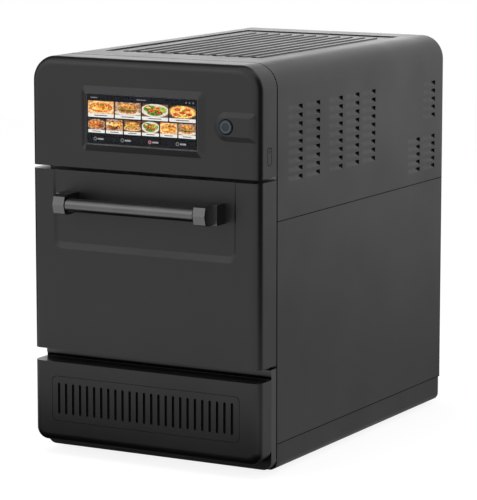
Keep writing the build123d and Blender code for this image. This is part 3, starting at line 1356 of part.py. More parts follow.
def fan_case():
    """Sheet case behind the cavity that holds the fan and the heater."""
    half = FAN_CASE_HALF
    wall = FAN_CASE_SHEET
    case = prism_y(outline(half, FAN_Z - half, FAN_Z + half), CAVITY_SEAT, CASE_REAR)
    inner = half - wall
    case -= prism_y(outline(inner, FAN_Z - inner, FAN_Z + inner), CAVITY_SEAT - OVERRUN, CASE_REAR - wall)
    case -= round_y(0, FAN_Z, SHAFT_R + OVERRUN, CASE_REAR - wall - OVERRUN, CASE_REAR + OVERRUN)
    hole = HEATER_TAIL_R + SEAT
    for x in (-HEATER_TAIL_X, HEATER_TAIL_X):
        case -= round_y(x, HEATER_TAIL_Z, hole, CASE_REAR - wall - OVERRUN, CASE_REAR + OVERRUN)
    return case


def convection_fan():
    """Radial fan wheel with swept blades, on the motor's shaft."""
    front = CAVITY_SEAT + FAN_FRONT_GAP
    disc_front = front + FAN_BLADE_LENGTH
    wheel = round_y(0, FAN_Z, FAN_R, disc_front, disc_front + FAN_DISC)
    wheel += round_y(0, FAN_Z, FAN_HUB_R, front, disc_front + FAN_DISC)
    blade_length = FAN_R - FAN_BLADE_ROOT_R
    middle_r = (FAN_R + FAN_BLADE_ROOT_R) / 2
    blade = Rot(0, 0, FAN_BLADE_SWEEP) * Rectangle(blade_length, FAN_BLADE_SHEET)
    for index in range(FAN_BLADES):
        place = Rot(0, 0, 360 * index / FAN_BLADES) * Pos(middle_r, 0) * blade
        wheel += prism_y(Pos(0, FAN_Z) * place, front, disc_front)
    rear = CASE_REAR + WOOL_REAR
    wheel += round_y(0, FAN_Z, SHAFT_R, disc_front, rear)
    return wheel


def fan_motor():
    """Motor behind the insulation, with a bearing boss round the fan's shaft."""
    front = WOOL_BACK + SEAT
    body = round_y(0, FAN_Z, MOTOR_R, front, front + MOTOR_LENGTH)
    body = fillet(body.edges().sort_by(Axis.Y)[-1], MOTOR_END_R)
    tall = MOTOR_FOOT_HALF_HEIGHT
    foot = outline(MOTOR_FOOT_HALF, FAN_Z - tall, FAN_Z + tall, MOTOR_FOOT_R, MOTOR_FOOT_R)
    body += prism_y(foot, front, front + SHEET)
    body += round_y(0, FAN_Z, MOTOR_BOSS_R, CASE_REAR + SEAT, front)
    bore = SHAFT_R + RUNNING_FIT
    return body - round_y(0, FAN_Z, bore, CASE_REAR - OVERRUN, WOOL_BACK + OVERRUN)


def heater_element():
    """Open ring heater round the fan, with a bead and a tail at each end through the rear of the case."""
    y = CAVITY_SEAT + HEATER_BEHIND
    half_gap = math.asin(HEATER_TAIL_X / HEATER_R)
    start = (math.sin(half_gap), 0, -math.cos(half_gap))
    place = Plane(origin=(0, y, FAN_Z), x_dir=start, z_dir=(0, -1, 0))
    section = Plane.XZ * (Pos(HEATER_R, 0) * Circle(HEATER_WIRE_R))
    element = place * revolve(section, Axis.Z, 360 - 2 * math.degrees(half_gap))
    for x in (-HEATER_TAIL_X, HEATER_TAIL_X):
        element += Pos(x, y, HEATER_TAIL_Z) * Sphere(HEATER_WIRE_R + SEAT)
        element += round_y(x, HEATER_TAIL_Z, HEATER_TAIL_R, y, WOOL_BACK + HEATER_TAIL)
    return element


def temperature_probe():
    """Probe through the rear wall of the cavity."""
    body = round_y(PROBE_X, PROBE_Z, PROBE_R, CAVITY_REAR - PROBE_LENGTH / 2, CAVITY_SEAT + PROBE_LENGTH / 2)
    return body + round_y(PROBE_X, PROBE_Z, PROBE_HEAD_R, CAVITY_SEAT, CAVITY_SEAT + PROBE_HEAD)


# Exhaust

def exhaust_duct():
    """Duct from the cavity to the rear panel."""
    low = EXHAUST_Z - EXHAUST_HALF_HEIGHT
    high = EXHAUST_Z + EXHAUST_HALF_HEIGHT
    wall = EXHAUST_SHEET
    section = outline(EXHAUST_HALF, low, high, x_middle=EXHAUST_X)
    section -= outline(EXHAUST_HALF - wall, low + wall, high - wall, x_middle=EXHAUST_X)
    return prism_y(section, CAVITY_SEAT, REAR_PANEL_FRONT)


def catalytic_filter():
    """Honeycomb block that cleans the exhaust air."""
    half = EXHAUST_HALF - EXHAUST_SHEET - SEAT
    half_height = EXHAUST_HALF_HEIGHT - EXHAUST_SHEET - SEAT
    y_pair = (CATALYST_FRONT, CATALYST_FRONT + CATALYST_LENGTH)
    section = outline(half, EXHAUST_Z - half_height, EXHAUST_Z + half_height, x_middle=EXHAUST_X)
    block = prism_y(section, *y_pair)
    cell_x = (2 * half - CATALYST_WEB) / CATALYST_COLUMNS
    cell_z = (2 * half_height - CATALYST_WEB) / CATALYST_ROWS
    cells = []
    for column in range(CATALYST_COLUMNS):
        for row in range(CATALYST_ROWS):
            x = EXHAUST_X - half + CATALYST_WEB / 2 + cell_x * (column + 0.5)
            z = EXHAUST_Z - half_height + CATALYST_WEB / 2 + cell_z * (row + 0.5)
            cell = Pos(x, z) * Rectangle(cell_x - CATALYST_WEB, cell_z - CATALYST_WEB)
            cells.append(prism_y(cell, y_pair[0] - OVERRUN, y_pair[1] + OVERRUN))
    return block - cells


# Microwave parts

def waveguide():
    """Bent rectangular duct from the magnetron down to the cavity roof."""
    base = CAVITY_HIGH + CAVITY_SHEET
    low = GUIDE_TOP - GUIDE_HEIGHT
    rear = GUIDE_FRONT + GUIDE_LENGTH
    wall = GUIDE_SHEET
    path = Polyline(
        (GUIDE_FRONT, base), (GUIDE_FRONT + GUIDE_DEPTH, base), (GUIDE_FRONT + GUIDE_DEPTH, low),
        (rear, low), (rear, GUIDE_TOP), (GUIDE_FRONT, GUIDE_TOP), close=True,
    )
    room = Polyline(
        (GUIDE_FRONT + wall, base - OVERRUN), (GUIDE_FRONT + GUIDE_DEPTH - wall, base - OVERRUN),
        (GUIDE_FRONT + GUIDE_DEPTH - wall, low + wall), (rear - wall, low + wall),
        (rear - wall, GUIDE_TOP - wall), (GUIDE_FRONT + wall, GUIDE_TOP - wall), close=True,
    )
    guide = prism_x(make_face(path), -GUIDE_HALF, GUIDE_HALF)
    guide -= prism_x(make_face(room), -GUIDE_HALF + wall, GUIDE_HALF - wall)
    hole = Pos(0, MAGNETRON_Y) * Circle(ANTENNA_R + OVERRUN)
    return guide - prism_z(hole, GUIDE_TOP - wall - OVERRUN, GUIDE_TOP + OVERRUN)


def magnetron():
    """Magnetron with its fin stack in a bracket and its antenna in the guide."""
    middle = MAGNETRON_Y
    half = MAGNETRON_HALF
    depth = MAGNETRON_DEPTH / 2
    low = GUIDE_TOP
    high = GUIDE_TOP + MAGNETRON_HEIGHT
    plate = MAGNETRON_BRACKET
    body = box_between((-half, half), (middle - depth, middle + depth), (low, high))
    body -= box_between(
        (-half - OVERRUN, half + OVERRUN), (middle - depth + plate, middle + depth - plate),
        (low + plate, high - plate),
    )
    body += prism_z(Pos(0, middle) * Circle(MAGNETRON_CORE_R), low, high)
    pitch = (high - low) / (MAGNETRON_FINS + 1)
    for index in range(MAGNETRON_FINS):
        z = low + pitch * (index + 1)
        body += box_between(
            (-half + plate, half - plate), (middle - depth, middle + depth), (z, z + MAGNETRON_FIN),
        )
    return body + prism_z(Pos(0, middle) * Circle(ANTENNA_R), low - ANTENNA_LENGTH, low + plate)


def inverter_board():
    """Power board with a finned heat sink."""
    low = SHEET + INVERTER_STANDOFF
    board = box_between(INVERTER_X, INVERTER_Y, (low, low + BOARD_THICKNESS))
    x_low, x_high = INVERTER_X
    y_low, y_high = INVERTER_Y
    inset = INVERTER_STANDOFF * 2
    for x in (x_low + inset, x_high - inset):
        for y in (y_low + inset, y_high - inset):
            board += prism_z(Pos(x, y) * Circle(INVERTER_STANDOFF / 2), SHEET, low)
    sink_low = low + BOARD_THICKNESS
    sink_x = (x_low + inset, (x_low + x_high) / 2)
    sink_y = (y_low + inset, y_high - inset)
    board += box_between(sink_x, sink_y, (sink_low, sink_low + HEATSINK_BASE))
    pitch = (sink_x[1] - sink_x[0] - HEATSINK_FIN) / (HEATSINK_FINS - 1)
    for index in range(HEATSINK_FINS):
        x = sink_x[0] + index * pitch
        board += box_between((x, x + HEATSINK_FIN), sink_y, (sink_low, sink_low + HEATSINK_HEIGHT))
    coil_x = (x_low + x_high) / 2 + (x_high - x_low) / 4
    coil = Pos(coil_x, (y_low + y_high) / 2) * Circle(INVERTER_COIL_R)
    return board + prism_z(coil, sink_low, sink_low + HEATSINK_HEIGHT)


def power_transformer():
    """Laminated core with its windings, on the floor of the base."""
    x_low, x_high = TRANSFORMER_X
    y_low, y_high = TRANSFORMER_Y
    core = box_between(TRANSFORMER_X, TRANSFORMER_Y, (SHEET, SHEET + TRANSFORMER_HEIGHT))
    quarter = (x_high - x_low) / 4
    low = SHEET + TRANSFORMER_HEIGHT / 4
    high = SHEET + TRANSFORMER_HEIGHT * 3 / 4
    over = TRANSFORMER_COIL_OVERHANG
    coil_x = (x_low + quarter / 2, x_high - quarter / 2)
    coil = box_between(coil_x, (y_low - over, y_high + over), (low, high))
    return core + fillet(coil.edges().filter_by(Axis.Z), TRANSFORMER_COIL_R)


def capacitor():
    """Oil capacitor held upright on the floor of the base."""
    can = prism_z(Pos(CAPACITOR_X, CAPACITOR_Y) * Circle(CAPACITOR_R), SHEET, SHEET + CAPACITOR_HEIGHT)
    can = fillet(can.edges().sort_by(Axis.Z)[-1], CAPACITOR_RIM_R)
    for x in (CAPACITOR_X - CAPACITOR_TAB, CAPACITOR_X + CAPACITOR_TAB):
        high = SHEET + CAPACITOR_HEIGHT
        can += box_between(
            (x - SHEET / 2, x + SHEET / 2),
            (CAPACITOR_Y - CAPACITOR_TAB / 2, CAPACITOR_Y + CAPACITOR_TAB / 2),
            (high - CAPACITOR_TAB, high + CAPACITOR_TAB),
        )
    return can


def mains_filter():
    """Filter block on the floor beside the cable gland."""
    block = box_between(MAINS_X, MAINS_Y, (SHEET, SHEET + MAINS_HEIGHT))
    return fillet(block.edges().filter_by(Axis.Z), MAINS_R)


def relay_board():
    """Relay board on standoffs on the floor of the base."""
    low = SHEET + BOARD_STANDOFF
    board = box_between(RELAY_X, RELAY_Y, (low, low + BOARD_THICKNESS))
    x_low, x_high = RELAY_X
    y_low, y_high = RELAY_Y
    for x in (x_low + BOARD_MARGIN, x_high - BOARD_MARGIN):
        for y in (y_low + BOARD_MARGIN, y_high - BOARD_MARGIN):
            board += prism_z(Pos(x, y) * Circle(BOARD_STANDOFF / 2), SHEET, low)
    pitch = (x_high - x_low) / RELAY_COUNT
    y = (y_low + y_high) / 2
    top = low + BOARD_THICKNESS
    for index in range(RELAY_COUNT):
        x = x_low + pitch * (index + 0.5)
        half = RELAY_SIZE / 2
        board += box_between((x - half, x + half), (y - half, y + half), (top, top + RELAY_HEIGHT))
    return board


# Cooling fans

def cooling_fan_frame():
    """Square fan frame with a hub seat on four spokes, drawn on the right side."""
    front = FRAME_REAR
    rear = front + COOLER_DEPTH
    half = COOLER_HALF
    square = Pos(COOLER_X, COOLER_Z) * RectangleRounded(2 * half, 2 * half, COOLER_R)
    frame = prism_y(square, front, rear)
    frame -= round_y(COOLER_X, COOLER_Z, COOLER_BORE_R, front - OVERRUN, rear + OVERRUN)
    spoke_front = rear - COOLER_SPOKE_DEPTH
    frame += round_y(COOLER_X, COOLER_Z, COOLER_HUB_R, spoke_front, rear)
    length = COOLER_BORE_R + OVERRUN
    for index in range(COOLER_SPOKES):
        turn = Rot(0, 0, 360 * index / COOLER_SPOKES + 45)
        spoke = turn * Pos(length / 2, 0) * Rectangle(length, COOLER_SPOKE_WIDTH)
        frame += prism_y(Pos(COOLER_X, COOLER_Z) * spoke, spoke_front, rear)
    return frame


def cooling_fan_frames():
    """The two cooling fan frames side by side."""
    frame = cooling_fan_frame()
    return [frame, mirrored(frame)]


def cooling_rotor(side):
    """Axial rotor with twisted blades."""
    x = side * COOLER_X
    front = FRAME_REAR + SHEET
    rear = FRAME_REAR + COOLER_DEPTH - COOLER_SPOKE_DEPTH - SEAT
    hub = round_y(x, COOLER_Z, COOLER_HUB_R, front, rear)
    hub = fillet(hub.edges().sort_by(Axis.Y)[0], SHEET)
    middle_y = (front + rear) / 2
    depth = rear - front
    chord = COOLER_CHORD_SHARE * depth / math.cos(math.radians(COOLER_BLADE_PITCH))
    length = COOLER_ROTOR_R - COOLER_HUB_R / 2
    blade = Rot(0, 0, COOLER_BLADE_PITCH) * Box(COOLER_BLADE, chord, length)
    blade = Pos(0, 0, COOLER_HUB_R / 2 + length / 2) * blade
    sweep = round_y(x, COOLER_Z, COOLER_ROTOR_R, front, rear)
    for index in range(COOLER_BLADES):
        turned = Rot(0, 360 * index / COOLER_BLADES, 0) * blade
        hub += (Pos(x, middle_y, COOLER_Z) * turned) & sweep
    return hub


# All nodes

NODES = {
    "base_pan": base_pan(),
    "rubber_feet": rubber_feet(),
    "foot_screws": foot_screws(),
    "sill_frame": sill_frame(),
    "front_frame": front_frame(),
    "upper_cover": holed_for_rear_screws(upper_cover()),
    "top_vent_plate": vent_plate(),
    "rear_panel": rear_panel(),
    "rear_screws": rear_screws(),
    "cable_gland": cable_gland(),
    "control_fascia": control_fascia(),
    "screen_bezel": screen_bezel(),
    "display_glass": display_glass(),
    "display_module": display_module(),
    "control_board": control_board(),
    "power_button": power_button(),
    "button_switch": button_switch(),
    "port_cover": port_cover(),
    "port_socket": port_socket(),
    "lower_front_cover": lower_front_cover(),
    "air_filter_grille": air_filter_grille(),
    "filter_pad": filter_pad(),
    "door_shell": door_shell(),
    "door_inner_panel": door_inner_panel(),
    "door_gasket": door_gasket(),
    "door_wool": door_wool(),
    "handle_bar": handle_bar(),
    "handle_screws": handle_screws(),
    "hinge_pins": hinge_pins(),
    "cavity_shell": cavity_shell(),
    "jet_plate": jet_plate(),
    "return_air_grille": return_air_grille(),
    "cook_plate": cook_plate(),
    "wire_rack": wire_rack(),
    "cavity_wool": cavity_wool(),
    "fan_case": fan_case(),
    "convection_fan": convection_fan(),
    "fan_motor": fan_motor(),
    "heater_element": heater_element(),
    "temperature_probe": temperature_probe(),
    "exhaust_duct": exhaust_duct(),
    "catalytic_filter": catalytic_filter(),
    "waveguide": waveguide(),
    "magnetron": magnetron(),
    "inverter_board": inverter_board(),
    "power_transformer": power_transformer(),
    "capacitor": capacitor(),
    "mains_filter": mains_filter(),
    "relay_board": relay_board(),
    "cooling_fan_frames": cooling_fan_frames(),
}

for side_name, side_sign in SIDES.items():
    NODES["side_panel_" + side_name] = holed_for_rear_screws(side_panel(side_sign))
    NODES["handle_mount_" + side_name] = handle_mount(side_sign)
    NODES["hinge_bracket_" + side_name] = hinge_bracket(side_sign)
    NODES["hinge_lug_" + side_name] = hinge_lug(side_sign)
    NODES["cooling_rotor_" + side_name] = cooling_rotor(side_sign)


# Export with the origin under the middle of the footprint

os.makedirs("parts", exist_ok=True)
TO_ORIGIN = Pos(0, -Y_MIDDLE, FOOT_HEIGHT)
for name, shape in NODES.items():
    solids = shape if isinstance(shape, list) else [shape]
    moved = [TO_ORIGIN * solid for solid in solids]
    node = moved[0] if len(moved) == 1 else Compound(children=moved)
    node.label = name
    export_step(node, os.path.join("parts", name + ".step"))
print("nodes", len(NODES), "y_middle", Y_MIDDLE)
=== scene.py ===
import json
import math

import bmesh
import bpy
from mathutils import Euler, Matrix, Vector


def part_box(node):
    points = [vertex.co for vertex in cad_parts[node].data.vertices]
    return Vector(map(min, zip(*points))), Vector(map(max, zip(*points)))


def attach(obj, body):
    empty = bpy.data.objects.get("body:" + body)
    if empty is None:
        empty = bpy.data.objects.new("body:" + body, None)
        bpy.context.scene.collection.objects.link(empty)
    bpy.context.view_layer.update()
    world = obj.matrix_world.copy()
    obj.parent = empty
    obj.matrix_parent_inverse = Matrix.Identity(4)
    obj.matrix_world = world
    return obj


# Camera, from a fit to the photograph
VIEW_AZIMUTH = 28.63
VIEW_ELEVATION = 8.77
VIEW_ROLL = 0.06
VIEW_DISTANCE = 4.31999
VIEW_AIM = (0.0, 0.05173, 0.305)
VIEW_LENS = 196.76
VIEW_SHIFT_X = -0.0363
VIEW_SHIFT_Y = -0.0343
SENSOR_WIDTH = 36.0
CLIP_NEAR = 0.05
CLIP_FAR = 60.0

# Floor: its colour, and its glow to the camera
FLOOR_SIZE = 7.0
FLOOR_SHADE = 0.2
FLOOR_GLOW = 0.87

# Floor as reflections see it, with painted shade of the oven near it: levels at shares of FLOOR_FAR from a
# dark box in front of the oven, and behind FLOOR_FRONT_LINE a share of them that grows to 1 sideways over a
# span
FLOOR_FAR = 3.0
FLOOR_DARK_MIDDLE = (-0.12, -0.42, 0.0)
FLOOR_DARK_HALF = (0.42, 0.13, 0.0)
FLOOR_MIRROR_SHARES = ((0.0, 0.02), (0.012, 0.2), (0.03, 1.2), (0.1, 1.3), (0.3, 0.93), (1.0, 0.86))
FLOOR_SIDE_SHARE = 0.4
FLOOR_SIDE_SPAN = (0.3, 1.7)
FLOOR_FRONT_LINE = -0.34

# World: its strength as light on surfaces, and 1 to the camera, in reflections and through glass
WORLD_AMBIENT = 0.55

# Upright dark cards between two places on the floor
CARD_SHADE = 0.01
CARD_WALL_HEIGHT = 1.6
CARD_WALLS = (
    ("card_right", (1.0, -0.85), (1.0, 0.55)),
    ("card_left", (-1.0, -0.4), (-1.0, 0.85)),
)

# Cards aimed at the oven: azimuth, elevation, distance, (width, height) and glow, dark where it is zero
AIM_HEIGHT = 0.3
SOFTBOX_SHADE = 0.9
CARDS = (
    ("card_top", -136, 66, 1.8, (2.0, 1.3), 0.0),
    ("softbox_rear", -156, 14, 2.2, (1.6, 1.0), 1.6),
    ("softbox_front", -28, 30, 2.4, (1.7, 1.0), 1.4),
)

# Lamps: place, height of the target, size and power
LAMPS = (
    ("lamp_top", (-0.3, -0.4, 2.6), 0.2, 2.0, 38),
    ("lamp_front", (-1.8, -2.6, 1.6), 0.3, 1.6, 26),
    ("lamp_right", (2.6, 0.4, 1.4), 0.3, 1.6, 14),
)

# Surface texture: pattern scales and depths
COAT_GRAIN_SCALE = 1500.0
COAT_PEEL_SCALE = 300.0
COAT_GRAIN_DEPTH = 0.00003
COAT_PEEL_DEPTH = 0.00006
STREAK_SCALE = 400.0
STREAK_DEPTH = 0.00003
BLAST_DEPTH = 0.00002
CRYSTAL_DEPTH = 0.00002
FINE_GRAIN_DEPTH = 0.00001
MOULD_GRAIN_DEPTH = 0.00002
SOFT_GRAIN_DEPTH = 0.00003
RUBBER_GRAIN_DEPTH = 0.00004
CERAMIC_GRAIN_DEPTH = 0.00005
WOOL_CLUMP_DEPTH = 0.002
WOOL_FIBRE_DEPTH = 0.0008
TRACK_DEPTH = 0.00005
PORE_DEPTH = 0.0006
COAT_BLACK = (0.0045, 0.0045, 0.0047)
STEEL_GREY = (0.56, 0.56, 0.57)

# Screen picture
PICTURE_DEPTH = 0.0006
SHEET_THICKNESS = 0.00001
LAYER_STEP = 0.00003
SCREEN_MARGIN = 0.0012
HEADER_SHARE = 0.13
FOOTER_SHARE = 0.19
CAPTION_SHARE = 0.22
CAPTION_BAR_SHARES = (1 / 4, 1 / 9)
GAP_SHARE = 0.028
DISH_SPREAD = 1.08
HEADER_DOTS = 3
FOOTER_PARTS = 4
FOOTER_RED_PART = 2
FOOTER_ICON_SHARE = 0.3
ICON_HOLLOW_SHARE = 0.75

# Marks of the header and footer, in gaps between tiles
TEXT_HALF_GAPS = 0.4
HEADER_LEFT_GAPS = 6
HEADER_LEFT_HALF_GAPS = 3
TITLE_HALF_GAPS = 4
DOT_STEP_GAPS = 3
DOT_GAPS = 0.64
ICON_GAPS = 1.3
LABEL_PLACE_GAPS = 4.6
LABEL_HALF_GAPS = 2.6
LABEL_RISE_GAPS = 0.6
LINE_HALF_GAPS = 1 / 8
LINE_RISE_GAPS = 1.6

# Steps in each kind of round
CORNER_STEPS = 5
ELLIPSE_STEPS = 24
ARCH_STEPS = 12
RING_STEPS = 72
MARK_STEPS = 40
SHADE_RING_STEPS = 64
BAR_RING_STEPS = 40
NOTCH_STEPS = 24

# Button light ring
RING_R = 0.0074
RING_WIDTH = 0.0017
RING_RISE = 0.00012
MARK_R = 0.0025
MARK_WIDTH = 0.0007
RING_SHOULDER_SHARE = 0.7
RING_EDGE_SHARE = 0.4

# Bead, and black pieces of painted shade: rings in the gaps round the button and the handle bar, and strips
# in the seams and under the sill
BEAD_SHARES = ((0.0, 0.0), (0.25, 1.0), (0.75, 1.0), (1.0, 0.0))
BEAD_NEAR = 0.00045
BEAD_WIDTH = 0.0008
BEAD_RISE = 0.00015
BUTTON_PROUD = 0.0018
BUTTON_FACE_R = 0.0103
SHADE_RING_GAP = 0.0001
SHADE_RING_WIDTH = 0.0011
SHADE_RING_RISE = 0.00012
BODY_CORNER_R = 0.037
FRONT_SEAM_Y = -0.24185
SEAM_WIDTH = 0.003
SEAM_RISE = 0.00003
SEAM_LIFT = 0.002
SIDE_SEAM = 0.0011
SIDE_SEAM_LAP = 0.0001
SILL_SHADE_LOW = 0.0004
SILL_SHADE_HEIGHT = 0.0042
SILL_FRONT_Y = -0.258
SILL_SHADE_END = 0.001
BAR_RING = 0.0014
BAR_RING_RISE = 0.00035

# Ramps of the louvres: rows as shares of the opening's height and of the depth there
LOUVRE_INWARD = 0.0048
LOUVRE_OPEN = 0.0075
LOUVRE_LENGTH = 0.044
LOUVRE_TOLERANCE = 0.0001
LOUVRE_LENGTH_TOLERANCE = 0.0004
LOUVRE_DIGITS = 4
LOUVRE_SKIN = 0.0001
LOUVRE_CLEAR = 0.0003
LOUVRE_ROW_SHARES = ((0.0, 0.0), (0.1, 0.08), (0.5, 0.92), (0.6, 1.0), (1.0, 1.0))
LOUVRE_STEPS = 14
LOUVRE_START_SHARE = 0.2
LOUVRE_RUN_IN_SHARE = 0.5
LOUVRE_CURVE = 5.5

# Mouths of the ribs, as black pieces of painted shade
RIB_COUNT = 11
RIB_SHIFT = 0.003
RIB_PITCH = 0.02207
RIB_FRONT = -0.166
RIB_DROP = 0.0018
MOUTH_HALF = 0.005
MOUTH_TOP_HALF = 0.0038
MOUTH_LENGTH = 0.005
MOUTH_CAP = 0.0075
MOUTH_SKIN = 0.00005

# Service port: black seam and notch of painted shade
PORT_SEAM = 0.0011
PORT_SEAM_NEAR = 0.0001
PORT_HINGE = 0.0024
PORT_NOTCH_R = 0.0016
PORT_NOTCH_DROP = 0.004

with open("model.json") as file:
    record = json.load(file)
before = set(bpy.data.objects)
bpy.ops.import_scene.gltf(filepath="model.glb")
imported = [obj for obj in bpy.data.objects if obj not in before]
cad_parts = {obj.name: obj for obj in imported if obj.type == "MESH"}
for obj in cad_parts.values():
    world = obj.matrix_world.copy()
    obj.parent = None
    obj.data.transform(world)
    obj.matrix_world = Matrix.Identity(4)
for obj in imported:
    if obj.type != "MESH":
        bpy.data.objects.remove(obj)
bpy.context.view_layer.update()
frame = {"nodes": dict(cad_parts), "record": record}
nodes = frame["nodes"]


# Node helpers

def new_material(name):
    """Material with an empty principled shader, and its tree."""
    material = bpy.data.materials.new(name)
    material.use_nodes = True
    tree = material.node_tree
    tree.nodes.clear()
    output = tree.nodes.new("ShaderNodeOutputMaterial")
    shader = tree.nodes.new("ShaderNodeBsdfPrincipled")
    tree.links.new(shader.outputs["BSDF"], output.inputs["Surface"])
    return material, tree, shader


def object_point(tree, stretch=(1, 1, 1)):
    """Object coordinates, stretched along each axis."""
    coordinates = tree.nodes.new("ShaderNodeTexCoord")
    mapping = tree.nodes.new("ShaderNodeMapping")
    mapping.inputs["Scale"].default_value = stretch
    tree.links.new(coordinates.outputs["Object"], mapping.inputs["Vector"])
    return mapping.outputs["Vector"]


def noise(tree, point, scale, detail=2.0, roughness=0.5):
    """Noise between 0 and 1."""
    node = tree.nodes.new("ShaderNodeTexNoise")
    node.inputs["Scale"].default_value = scale
    node.inputs["Detail"].default_value = detail
    node.inputs["Roughness"].default_value = roughness
    tree.links.new(point, node.inputs["Vector"])
    return node.outputs["Fac"]


def cells(tree, point, scale, feature="F1"):
    """Distance to the nearest cell of a Voronoi pattern."""
    node = tree.nodes.new("ShaderNodeTexVoronoi")
    node.feature = feature
    node.inputs["Scale"].default_value = scale
    tree.links.new(point, node.inputs["Vector"])
    return node.outputs["Distance"]


def remap(tree, value, low, high, source=(0.0, 1.0)):
    """Value mapped from one range to another."""
    node = tree.nodes.new("ShaderNodeMapRange")
    node.inputs["From Min"].default_value = source[0]
    node.inputs["From Max"].default_value = source[1]
    node.inputs["To Min"].default_value = low
    node.inputs["To Max"].default_value = high
    tree.links.new(value, node.inputs["Value"])
    return node.outputs["Result"]


def ramp(tree, value, stops):
    """Colour ramp through (place, colour) stops."""
    node = tree.nodes.new("ShaderNodeValToRGB")
    elements = node.color_ramp.elements
    elements[0].position = stops[0][0]
    elements[0].color = (*stops[0][1], 1)
    elements[1].position = stops[-1][0]
    elements[1].color = (*stops[-1][1], 1)
    for place, colour in stops[1:-1]:
        element = elements.new(place)
        element.color = (*colour, 1)
    tree.links.new(value, node.inputs["Fac"])
    return node.outputs["Color"]


def bumps(tree, shader, layers):
    """Chain of bump nodes from (height, strength, distance) layers."""
    normal = None
    for height, strength, distance in layers:
        node = tree.nodes.new("ShaderNodeBump")
        node.inputs["Strength"].default_value = strength
        node.inputs["Distance"].default_value = distance
        tree.links.new(height, node.inputs["Height"])
        if normal is not None:
            tree.links.new(normal, node.inputs["Normal"])
        normal = node.outputs["Normal"]
    tree.links.new(normal, shader.inputs["Normal"])


def shade(colour, factor):
    """Colour times a factor."""
    return tuple(min(1.0, channel * factor) for channel in colour)


# Materials

def powder_coat(name, colour, rough, gloss_level=0.5):
    """Matte powder coat with a fine orange peel and slightly uneven sheen."""
    material, tree, shader = new_material(name)
    shader.inputs["Specular IOR Level"].default_value = gloss_level
    point = object_point(tree)
    fine = noise(tree, point, COAT_GRAIN_SCALE)
    peel = noise(tree, point, COAT_PEEL_SCALE)
    broad = noise(tree, point, 9.0, 3.0)
    tint = ramp(tree, broad, [(0.3, shade(colour, 0.88)), (0.7, shade(colour, 1.12))])
    tree.links.new(tint, shader.inputs["Base Color"])
    tree.links.new(remap(tree, broad, rough - 0.04, rough + 0.04, (0.3, 0.7)), shader.inputs["Roughness"])
    bumps(tree, shader, [(peel, 0.25, COAT_PEEL_DEPTH), (fine, 0.4, COAT_GRAIN_DEPTH)])
    return material


def metal(name, colour, rough, stretch):
    """Brushed metal with streaks along one axis."""
    material, tree, shader = new_material(name)
    point = object_point(tree, stretch)
    streaks = noise(tree, point, STREAK_SCALE, 3.0, 0.6)
    broad = noise(tree, object_point(tree), 14.0, 3.0)
    tint = ramp(tree, broad, [(0.3, shade(colour, 0.86)), (0.7, shade(colour, 1.1))])
    tree.links.new(tint, shader.inputs["Base Color"])
    shader.inputs["Metallic"].default_value = 1.0
    tree.links.new(remap(tree, streaks, rough - 0.1, rough + 0.12, (0.25, 0.75)), shader.inputs["Roughness"])
    bumps(tree, shader, [(streaks, 0.2, STREAK_DEPTH)])
    return material


def dark_metal(name, colour, rough):
    """Satin black-finished metal with a fine blasted grain."""
    material, tree, shader = new_material(name)
    point = object_point(tree)
    fine = noise(tree, point, 1800.0, 2.0)
    broad = noise(tree, point, 16.0, 3.0)
    tint = ramp(tree, broad, [(0.3, shade(colour, 0.93)), (0.7, shade(colour, 1.07))])
    tree.links.new(tint, shader.inputs["Base Color"])
    shader.inputs["Metallic"].default_value = 1.0
    tree.links.new(remap(tree, broad, rough - 0.03, rough + 0.03, (0.3, 0.7)), shader.inputs["Roughness"])
    bumps(tree, shader, [(fine, 0.3, BLAST_DEPTH)])
    return material


def zinc_plate(name):
    """Zinc plate with a fine crystal pattern."""
    material, tree, shader = new_material(name)
    point = object_point(tree)
    crystals = cells(tree, point, 700.0)
    broad = noise(tree, point, 60.0, 3.0)
    tint = ramp(tree, broad, [(0.3, (0.44, 0.45, 0.47)), (0.7, (0.62, 0.62, 0.6))])
    tree.links.new(tint, shader.inputs["Base Color"])
    shader.inputs["Metallic"].default_value = 1.0
    tree.links.new(remap(tree, crystals, 0.26, 0.42, (0.0, 0.8)), shader.inputs["Roughness"])
    bumps(tree, shader, [(crystals, 0.15, CRYSTAL_DEPTH)])
    return material


def plastic(name, colour, rough, grain=900.0, depth=MOULD_GRAIN_DEPTH):
    """Moulded plastic with spark-eroded grain."""
    material, tree, shader = new_material(name)
    point = object_point(tree)
    fine = cells(tree, point, grain)
    broad = noise(tree, point, 20.0, 3.0)
    tint = ramp(tree, broad, [(0.3, shade(colour, 0.85)), (0.7, shade(colour, 1.15))])
    tree.links.new(tint, shader.inputs["Base Color"])
    tree.links.new(remap(tree, fine, rough - 0.06, rough + 0.06, (0.0, 0.8)), shader.inputs["Roughness"])
    bumps(tree, shader, [(fine, 0.25, depth)])
    return material


def mineral_wool(name):
    """Fibrous wool."""
    material, tree, shader = new_material(name)
    point = object_point(tree, (1, 1, 5))
    fibres = noise(tree, point, 260.0, 6.0, 0.7)
    clumps = noise(tree, object_point(tree), 60.0, 4.0)
    tint = ramp(tree, fibres, [(0.3, (0.5, 0.47, 0.38)), (0.7, (0.82, 0.79, 0.7))])
    tree.links.new(tint, shader.inputs["Base Color"])
    shader.inputs["Roughness"].default_value = 0.95
    shader.inputs["Sheen Weight"].default_value = 0.3
    bumps(tree, shader, [(clumps, 0.6, WOOL_CLUMP_DEPTH), (fibres, 0.7, WOOL_FIBRE_DEPTH)])
    return material


